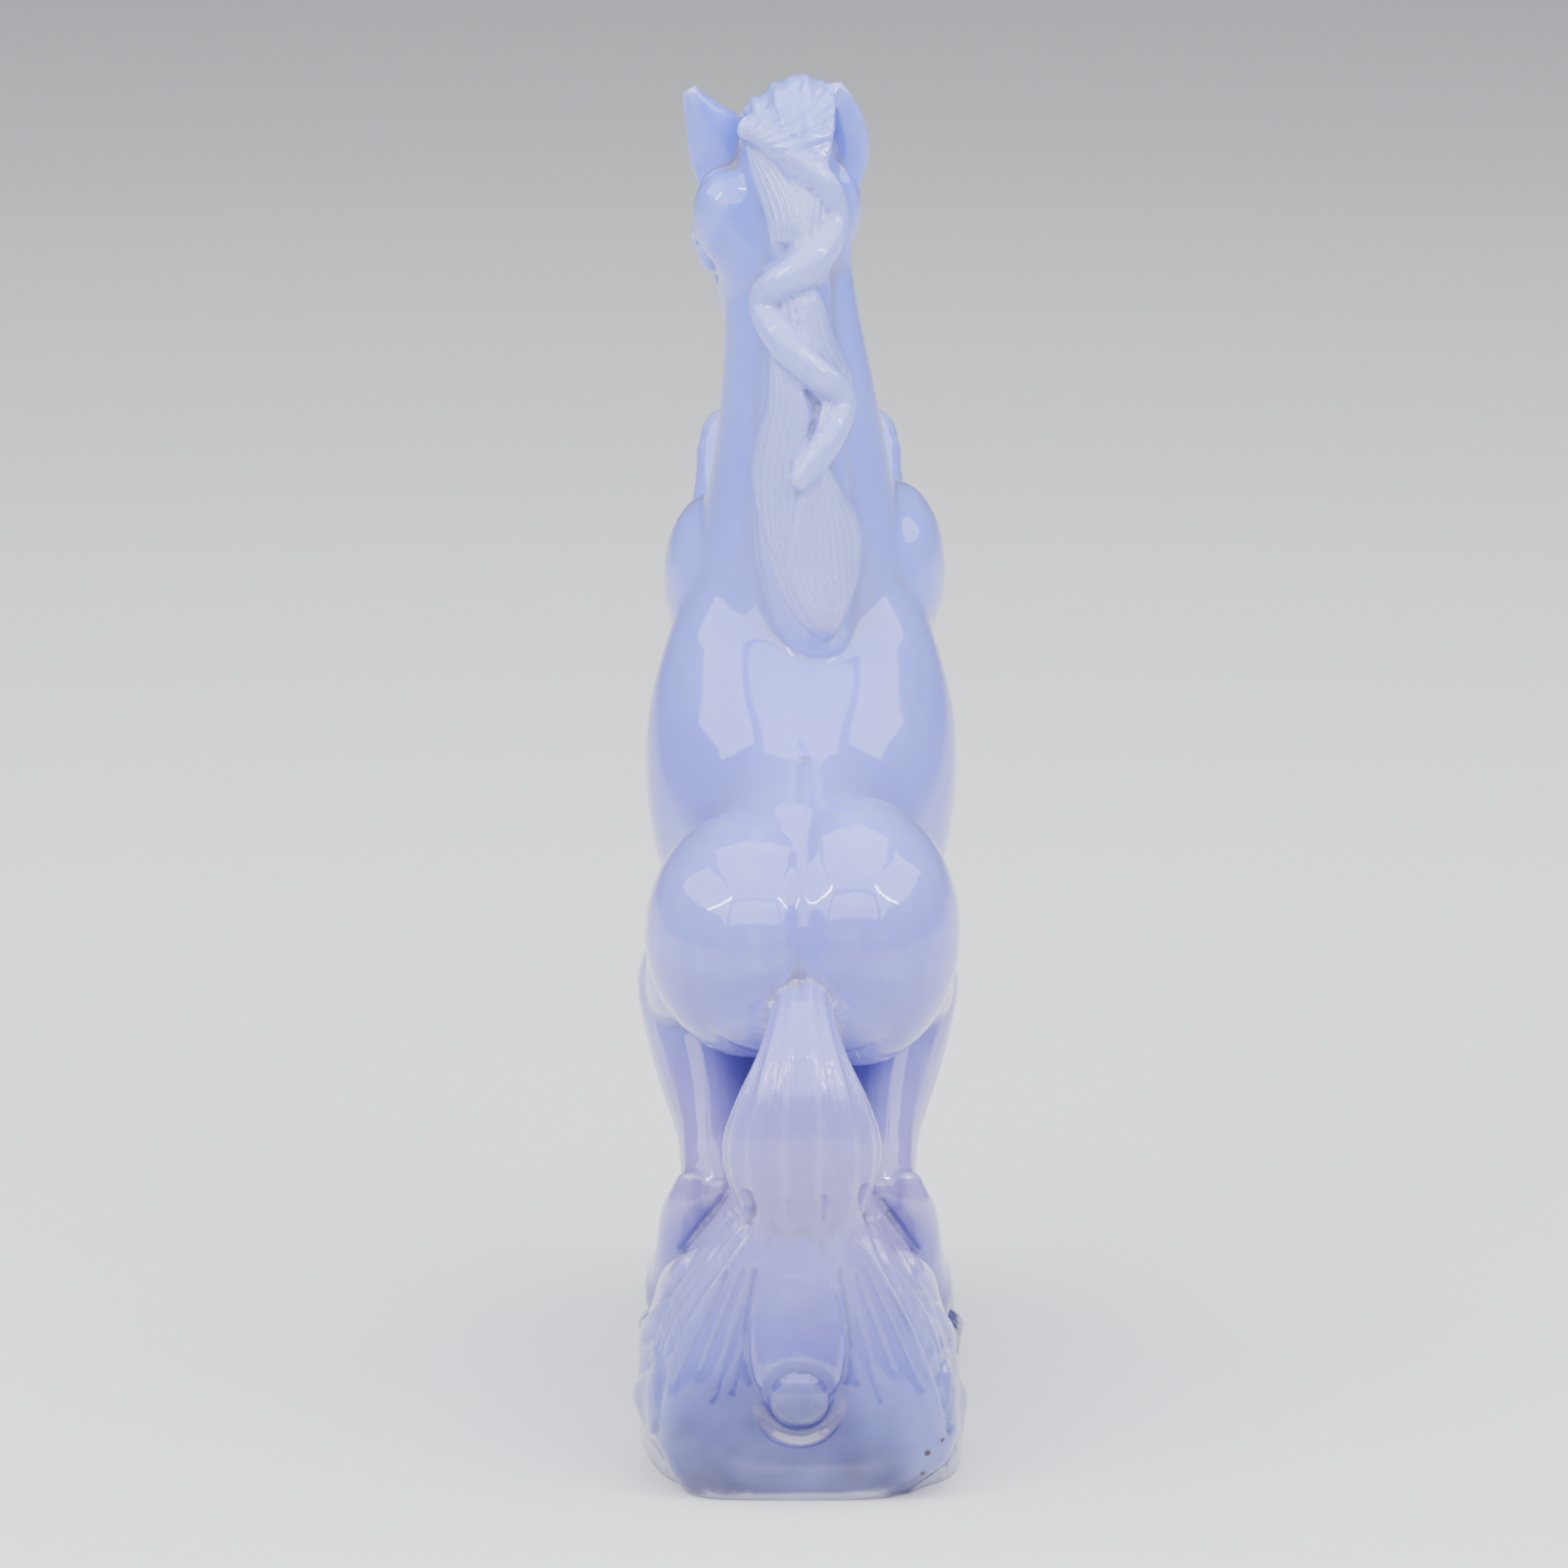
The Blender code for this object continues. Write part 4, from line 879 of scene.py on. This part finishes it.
def burr_cuts(points, normals, strand, hair):
    """How far the burr goes in at each point, in figure units: hairs as narrow valleys, and cuts
    on what faces the side they are drawn from. A groove leaves the knob: it deepens by the cube of
    the distance out to the knob's radius and fades beyond."""
    rear, left, right = (ramp(normals @ np.array(way), *FACING)
                         for way in ((0, -1, 0.1), (1, 0, 0), (-1, 0, 0)))
    x, forward, up = points.T
    flat = points[:, [0, 2]]
    depth = HAIR_DEPTH * hair * (1 - np.abs(np.sin(math.pi * strand))) ** 2
    on_fan = rear * (forward < FAN_FRONT)
    depth += cut_depth(flat, fan_cuts() + band_cuts()) * on_fan * (up < FAN_TOP)
    out = np.linalg.norm(flat - KNOB, axis=1) / KNOB_RADIUS
    groove = np.where(out < 1, out ** 3, np.exp(-((out - 1) / KNOB_RIM) ** 2))
    depth += KNOB_DEPTH * groove * on_fan
    on_croup = rear * (up > CROUP_BOTTOM) * (forward < CROUP_FRONT)
    depth += cut_depth(flat, [CROUP_CUT]) * on_croup
    on_tuft = ramp(x, *TUFT_RIGHT) * ramp(x, *TUFT_LEFT) * (up > TUFT_BOTTOM)
    depth += cut_depth(flat, tuft_cuts()) * rear * on_tuft * (forward < TUFT_FRONT)
    head = from_head(points)
    on_head = ((head[:, 1] > FACE_START) & (head[:, 1] < FACE_END)
               & (head[:, 2] > FACE_UNDER) & (forward > HEAD_BACK))
    for side, facing in ((1, left), (-1, right)):
        on_side_of_head = facing * on_head * (head[:, 0] * side > 0)
        depth += cut_depth(head[:, 1:], head_cuts()) * on_side_of_head
        nostril = np.linalg.norm((head - NOSTRIL * (side, 1, 1)) / NOSTRIL_REACH, axis=1)
        depth += NOSTRIL_DEPTH * np.exp(-nostril ** 2) * (forward > HEAD_BACK)
    return depth


# One skin

def values_of(items, name, width=1, kind=float):
    """One property of all the items, in rows of the width."""
    values = np.empty(len(items) * width, kind)
    items.foreach_get(name, values)
    return values.reshape(-1, width) if width > 1 else values


def points_of(mesh):
    return values_of(mesh.vertices, "co", 3)


def as_form(mesh):
    return points_of(mesh), (values_of(mesh.loops, "vertex_index", kind=np.int32),
                             values_of(mesh.polygons, "loop_total", kind=np.int32))


def edited(mesh, change):
    """Changes the mesh by a function of its points, edges and faces."""
    shell = bmesh.new()
    shell.from_mesh(mesh)
    change(shell)
    shell.to_mesh(mesh)
    shell.free()


def joined_mesh(name, forms):
    """All forms in one mesh, each form's corners counted from its first point."""
    points = np.concatenate([form[0] for form in forms])
    starts = np.cumsum([0] + [len(form[0]) for form in forms])
    corners = np.concatenate([start + form[1][0] for start, form in zip(starts, forms)])
    sizes = np.concatenate([form[1][1] for form in forms])
    mesh = bpy.data.meshes.new(name)
    mesh.vertices.add(len(points))
    mesh.loops.add(len(corners))
    mesh.polygons.add(len(sizes))
    mesh.vertices.foreach_set("co", points.ravel())
    mesh.loops.foreach_set("vertex_index", corners.astype(np.int32))
    mesh.polygons.foreach_set("loop_start", (np.cumsum(sizes) - sizes).astype(np.int32))
    mesh.update(calc_edges=True)
    edited(mesh, lambda shell: bmesh.ops.recalc_face_normals(shell, faces=shell.faces))
    return mesh


def placed(name, data):
    """A new object with the data, in the scene."""
    made = bpy.data.objects.new(name, data)
    bpy.context.scene.collection.objects.link(made)
    return made


def evaluated(obj):
    """The object's mesh with its modifiers applied. The object is removed."""
    graph = bpy.context.evaluated_depsgraph_get()
    mesh = bpy.data.meshes.new_from_object(obj.evaluated_get(graph))
    bpy.data.objects.remove(obj, do_unlink=True)
    return mesh


def skin_round(name, forms, grain, passes):
    """One closed mesh drawn round overlapping forms, its creases eased by the passes."""
    source = placed(name, joined_mesh(name, forms))
    skin = source.modifiers.new("one skin", "REMESH")
    skin.mode = "VOXEL"
    skin.voxel_size = grain
    ease = source.modifiers.new("eased creases", "SMOOTH")
    ease.factor = SKIN_EASING
    ease.iterations = passes
    return evaluated(source)


def floor_cut(shell):
    """Takes off what lies below the floor and closes the cut."""
    everything = shell.verts[:] + shell.edges[:] + shell.faces[:]
    bmesh.ops.bisect_plane(shell, geom=everything, plane_co=(0, 0, 0), plane_no=(0, 0, 1),
                           clear_inner=True)
    rim = [edge for edge in shell.edges if edge.is_boundary]
    bmesh.ops.holes_fill(shell, edges=rim, sides=0)
    bmesh.ops.triangulate(shell, faces=[face for face in shell.faces if len(face.verts) > 4])


def thinned(mesh):
    """The mesh with edges folded away, down to the piece's number of triangles."""
    source = placed("thinned", mesh)
    triangles = len(mesh.loops) - 2 * len(mesh.polygons)
    fewer = source.modifiers.new("fewer faces", "DECIMATE")
    fewer.ratio = min(1.0, PIECE_TRIANGLES / triangles)
    fewer.use_collapse_triangulate = True
    return evaluated(source)


def largest_part(mesh):
    """Deletes the skin's crumbs: each point takes the lowest label of its neighbours until none
    changes, and what has the commonest label stays."""
    ends = values_of(mesh.edges, "vertices", 2, int)
    label = np.arange(len(mesh.vertices))
    while True:
        lowest = np.minimum(label[ends[:, 0]], label[ends[:, 1]])
        lower = label.copy()
        np.minimum.at(lower, ends[:, 0], lowest)
        np.minimum.at(lower, ends[:, 1], lowest)
        lower = lower[lower]
        if (lower == label).all():
            break
        label = lower
    crumbs = np.flatnonzero(label != np.bincount(label).argmax())

    def without_crumbs(shell):
        shell.verts.ensure_lookup_table()
        bmesh.ops.delete(shell, geom=[shell.verts[k] for k in crumbs], context="VERTS")

    edited(mesh, without_crumbs)


def moved_to(mesh, points):
    mesh.vertices.foreach_set("co", points.ravel())
    mesh.update()


def in_units_with_ways(mesh):
    """The mesh's points and normals in figure units."""
    return in_units(points_of(mesh)), values_of(mesh.vertices, "normal", 3) * AXES


# Points lower than this, in figure units, keep their height
FOOT = 0.1


def cut_in(mesh, forms):
    """Moves points in by the burr's cuts, along their normals, but not below the floor."""
    places, ways = in_units_with_ways(mesh)
    strand, hair, _ = combed(places, ways, forms)
    points = points_of(mesh)
    moved = points - ways * AXES * burr_cuts(places, ways, strand, hair)[:, None] * UNIT
    moved[:, 2] = np.where(places[:, 2] < FOOT, points[:, 2], np.maximum(moved[:, 2], 0))
    moved_to(mesh, moved)


# A tenth of a millimetre. Few rounds find a cut, many a whole hollow.
HOLLOW_UNIT = 0.0001
NEAR_ROUNDS = 2
FAR_ROUNDS = 90


def hollowness(mesh, rounds):
    """How far each point lies under the mean of its surroundings, which each round widens: more
    than 0 in a crease and less on an edge."""
    points, normals = points_of(mesh), values_of(mesh.vertices, "normal", 3)
    ends = values_of(mesh.edges, "vertices", 2, int)
    a, b = ends.T
    count = np.bincount(ends.ravel(), minlength=len(points))

    def around(values):
        return (np.bincount(a, values[b], len(points))
                + np.bincount(b, values[a], len(points))) / count

    def spread_out(values, times):
        for _ in range(times):
            values = (values + around(values)) / 2
        return values

    mean = np.stack([spread_out(values, rounds) for values in points.T], axis=-1)
    return spread_out(((mean - points) * normals).sum(axis=1) / HOLLOW_UNIT, 3)


def carved_mesh():
    """One skin: the soft body and base, the crisp forms and the leaves laid on them, the cuts and
    the flat foot, kept inside the solid's box, with the marks that tint the stone: the combed
    hair, and the hollows and edges where shade and light are painted."""
    body = skin_round("body", soft_forms(), SOFT_GRAIN, BODY_PASSES)
    base = skin_round("base", rock() + fan() + wave(), SOFT_GRAIN, BASE_PASSES)
    leaves, behind = laid_leaves(in_units(points_of(body)), in_units(points_of(base)))
    forms = [as_form(body), as_form(base)] + crisp_forms()
    forms += [leaf(first, second, lay, *shape) for _, _, first, second, lay, shape in leaves]
    forms.append(lock(**winding_lock(behind)))
    mesh = skin_round("horse_stone", forms, FINE_GRAIN, FINE_PASSES)
    largest_part(mesh)
    hairs = hair_forms(leaves, behind)
    cut_in(mesh, hairs)
    edited(mesh, floor_cut)
    mesh = thinned(mesh)
    mesh.name = "horse_stone"
    moved_to(mesh, np.clip(points_of(mesh), cad_box[0], cad_box[1]))
    strand, hair, pale = combed(*in_units_with_ways(mesh), hairs)
    # hollow marks cuts for painted shade and thin edges for painted light; deep marks broad
    # hollows for painted shade
    marks = {"strand": strand, "hair": hair, "pale": pale,
             "hollow": hollowness(mesh, NEAR_ROUNDS), "deep": hollowness(mesh, FAR_ROUNDS)}
    for name, values in marks.items():
        mesh.attributes.new(name, "FLOAT", "POINT").data.foreach_set("value", values)
    return mesh


# Stone

def linear(hex_colour):
    """An sRGB hex value as a linear colour with alpha 1."""
    parts = [int(hex_colour[k:k + 2], 16) / 255 for k in (1, 3, 5)]
    return [p / 12.92 if p <= 0.04045 else ((p + 0.055) / 1.055) ** 2.4 for p in parts] + [1.0]


def fed(tree, node, inputs):
    """The node, with its inputs set to plain values or to other nodes' outputs."""
    for name, value in inputs.items():
        if isinstance(value, bpy.types.NodeSocket):
            tree.links.new(value, node.inputs[name])
        else:
            node.inputs[name].default_value = value
    return node


def add(tree, kind, inputs, **settings):
    """Adds a node with its inputs, and with settings for its own choices."""
    made = tree.nodes.new("ShaderNode" + kind)
    for name, value in settings.items():
        setattr(made, name, value)
    return fed(tree, made, inputs)


def new_material(name):
    """A material, its node tree and its shader."""
    material = bpy.data.materials.new(name)
    material.use_nodes = True
    return material, material.node_tree, material.node_tree.nodes["Principled BSDF"]


# The stone's colour by height, as a share of STONE_TOP, in metres. The two lowest stops, the
# bottom 3 mm, are painted shade along the underside.
STONE_TOP = 0.15
STONE_AND_SHADE_BY_HEIGHT = [(0.0, "#382c58"), (0.02, "#2c2260"), (0.06, "#2e2c78"), (0.09, "#4a469a"),
                   (0.12, "#6a66b8"), (0.16, "#7c72c0"), (0.215, "#8c76b4"), (0.30, "#7c74cc"),
                   (0.42, "#7a7ae0"), (0.60, "#7a84f2"), (0.80, "#7082f4"), (1.0, "#5c74e6")]
# Clouds 17 mm wide, and wobbles of the hair 3 mm long, both per metre
CLOUD_SCALE = 60.0
WOBBLE_SCALE = 300.0
WAVES_PER_STRAND = 2
# Rusty specks behind this Y: places seen from there, and radii
SPECKS_BEHIND = 0.03
SPECKS = [((-0.0139, 0, 0.0057), 0.00045), ((-0.0166, 0, 0.0041), 0.0006),
          ((-0.0134, 0, 0.0031), 0.0004), ((-0.0143, 0, 0.0026), 0.0004),
          ((-0.0156, 0, 0.0068), 0.0003)]


def polished_chalcedony():
    """Chalcedony, cut with burrs and polished: milky lavender blue stone that lets some light
    in, so its cuts look soft. It is deeper blue in the thick rock, with painted shade darkening
    its lowest few millimetres, creamy where the tail is drawn in, and cloudy. The burr leaves the
    combed hair half matt and whiter. Painted shade darkens the cuts and greys the deep hollows,
    and painted light pales the thin edges. The colour starts from the height and takes on each
    tint by its share. The hairs' fine waves are a sine of the strand number."""
    material, tree, shader = new_material("polished_blue_chalcedony")
    place = add(tree, "TexCoord", {}).outputs["Object"]
    hair, strand, pale, hollow, deep = (
        add(tree, "Attribute", {}, attribute_name=name).outputs["Fac"]
        for name in ("hair", "strand", "pale", "hollow", "deep"))

    def mixed(factor, first, second):
        return add(tree, "Mix", {"Factor": factor, "A": first, "B": second},
                   data_type="RGBA").outputs["Result"]

    def spread(value, start, end, low=0.0, high=1.0):
        return add(tree, "MapRange", {"Value": value, "From Min": start, "From Max": end,
                                      "To Min": low, "To Max": high}).outputs["Result"]

    def maths(operation, first, second=0.0, kind="Math", output="Value"):
        return add(tree, kind, {0: first, 1: second}, operation=operation).outputs[output]

    apart = add(tree, "SeparateXYZ", {0: place}).outputs
    bands = add(tree, "ValToRGB", {"Fac": spread(apart["Z"], 0.0, STONE_TOP)})
    stops = bands.color_ramp.elements
    while len(stops) < len(STONE_AND_SHADE_BY_HEIGHT):
        stops.new(0.5)
    for stop, (position, colour) in zip(stops, STONE_AND_SHADE_BY_HEIGHT):
        stop.position = position
        stop.color = linear(colour)
    clouds = add(tree, "TexNoise", {"Vector": place, "Scale": CLOUD_SCALE, "Detail": 3.0,
                                    "Roughness": 0.5}).outputs["Fac"]
    flat = maths("MULTIPLY", place, (1, 0, 1), "VectorMath", "Vector")
    speck = 0.0
    for spot, radius in SPECKS:
        away = maths("DISTANCE", flat, spot, "VectorMath")
        speck = maths("MAXIMUM", spread(away, radius, 0.6 * radius), speck)
    on_rear = spread(apart["Y"], SPECKS_BEHIND, SPECKS_BEHIND + 0.002)
    tints = [
        (spread(clouds, 0.35, 0.7, 0.0, 0.45), "#909cf6"),      # milky clouds
        (maths("MULTIPLY", pale, 0.7), "#a9aeea"),              # whiter combed hair
        (spread(deep, 2.0, 8.0, 0.0, 0.9), "#8d89ae"),          # painted shade: greyer in deep hollows
        (spread(hollow, 0.12, 0.7, 0.0, 0.6), "#4c4a8c"),       # painted shade: dark, soft lines in the cuts
        (spread(hollow, -0.2, -0.8, 0.0, 0.45), "#e6e8fb"),     # thin edges lit through
        (maths("MULTIPLY", speck, on_rear), "#3a1f24"),
    ]
    stone = bands.outputs["Color"]
    for share, colour in tints:
        stone = mixed(share, stone, linear(colour))
    wobble = add(tree, "TexNoise", {"Vector": place, "Scale": WOBBLE_SCALE, "Detail": 2.0})
    wobbled = maths("ADD", strand, maths("MULTIPLY", wobble.outputs["Fac"], 0.25))
    wave = maths("SINE", maths("MULTIPLY", wobbled, 2 * math.pi * WAVES_PER_STRAND))
    bump = add(tree, "Bump", {"Height": maths("MULTIPLY", wave, hair), "Strength": 0.35,
                              "Distance": 0.0002}).outputs["Normal"]
    fed(tree, shader, {
        "Base Color": stone, "Normal": bump, "Roughness": spread(pale, 0.0, 1.0, 0.07, 0.17),
        "IOR": 1.54, "Coat Weight": 0.4, "Coat Roughness": 0.04, "Subsurface Weight": 0.35,
        "Subsurface Radius": (1.0, 0.95, 0.95), "Subsurface Scale": 0.0025})
    return material


def carving():
    """The one piece that stands for the solid."""
    mesh = carved_mesh()
    mesh.materials.clear()
    mesh.materials.append(polished_chalcedony())
    mesh.shade_smooth()
    piece = placed("horse_stone", mesh)
    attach(piece, "root")
    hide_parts("horse_carving")
    return piece


# Room

def pale_floor():
    """A wide matt floor, so that the camera sees no edge of it."""
    bpy.ops.mesh.primitive_plane_add(size=8.0)
    floor = bpy.context.object
    floor.name = "floor"
    matt, tree, shader = new_material("pale_matt_floor")
    fed(tree, shader, {"Base Color": linear("#dfe0e4"), "Roughness": 0.9})
    floor.data.materials.append(matt)


def soft_box(name, place, target, size, power, turn=0.0):
    """A rectangular area light that faces the target, turned about its own axis in degrees."""
    light = bpy.data.lights.new(name, "AREA")
    light.shape = "RECTANGLE"
    light.size, light.size_y = size
    light.energy = power
    lamp = placed(name, light)
    lamp.location = place
    lamp.rotation_mode = "QUATERNION"
    aimed = (Vector(place) - Vector(target)).to_track_quat("Z", "Y")
    lamp.rotation_quaternion = aimed @ Quaternion((0, 0, 1), math.radians(turn))
    lamp.visible_camera = False


def room_light():
    """A tent of white cloth: a ceiling and three walls that end above the camera's view, with a
    bright strip on each side, a wide soft light from above and the room's own."""
    soft_box("ceiling", (0, 0.05, 0.78), (0, 0.05, 0.1), (1.00, 0.90), 9.5)
    soft_box("rear_wall", (0, 0.53, 0.53), (0, 0, 0.53), (0.74, 0.44), 4.0)
    for name, side in (("right", -1), ("left", 1)):
        soft_box(name + "_wall", (side * 0.53, 0.12, 0.53), (0, 0, 0.53), (0.84, 0.44), 4.6)
        soft_box(name + "_strip", (side * 0.36, 0.24, 0.40), (0, 0.03, 0.08), (0.015, 0.30),
                 1.0, side * -35)
    overhead = bpy.data.lights.new("overhead", "SUN")
    overhead.energy = 0.2
    overhead.angle = math.radians(100)
    placed("overhead", overhead)
    world = bpy.data.worlds.new("pale room")
    bpy.context.scene.world = world
    world.use_nodes = True
    fed(world.node_tree, world.node_tree.nodes["Background"],
        {"Color": linear("#eef0f8"), "Strength": 0.35})


def photo_camera():
    """Looks at the carving from behind and a little above, with a long lens."""
    distance, elevation, aim = 0.9, math.radians(14), Vector((0.00198, -0.003, 0.07115))
    lens = bpy.data.cameras.new("camera")
    lens.lens = 181
    lens.clip_start = 0.01
    camera = placed("camera", lens)
    back = Vector((0, math.cos(elevation), math.sin(elevation)))
    camera.location = aim + back * distance
    camera.rotation_mode = "QUATERNION"
    camera.rotation_quaternion = back.to_track_quat("Z", "Y")
    bpy.context.scene.camera = camera


photo_camera()
carving()
pale_floor()
room_light()
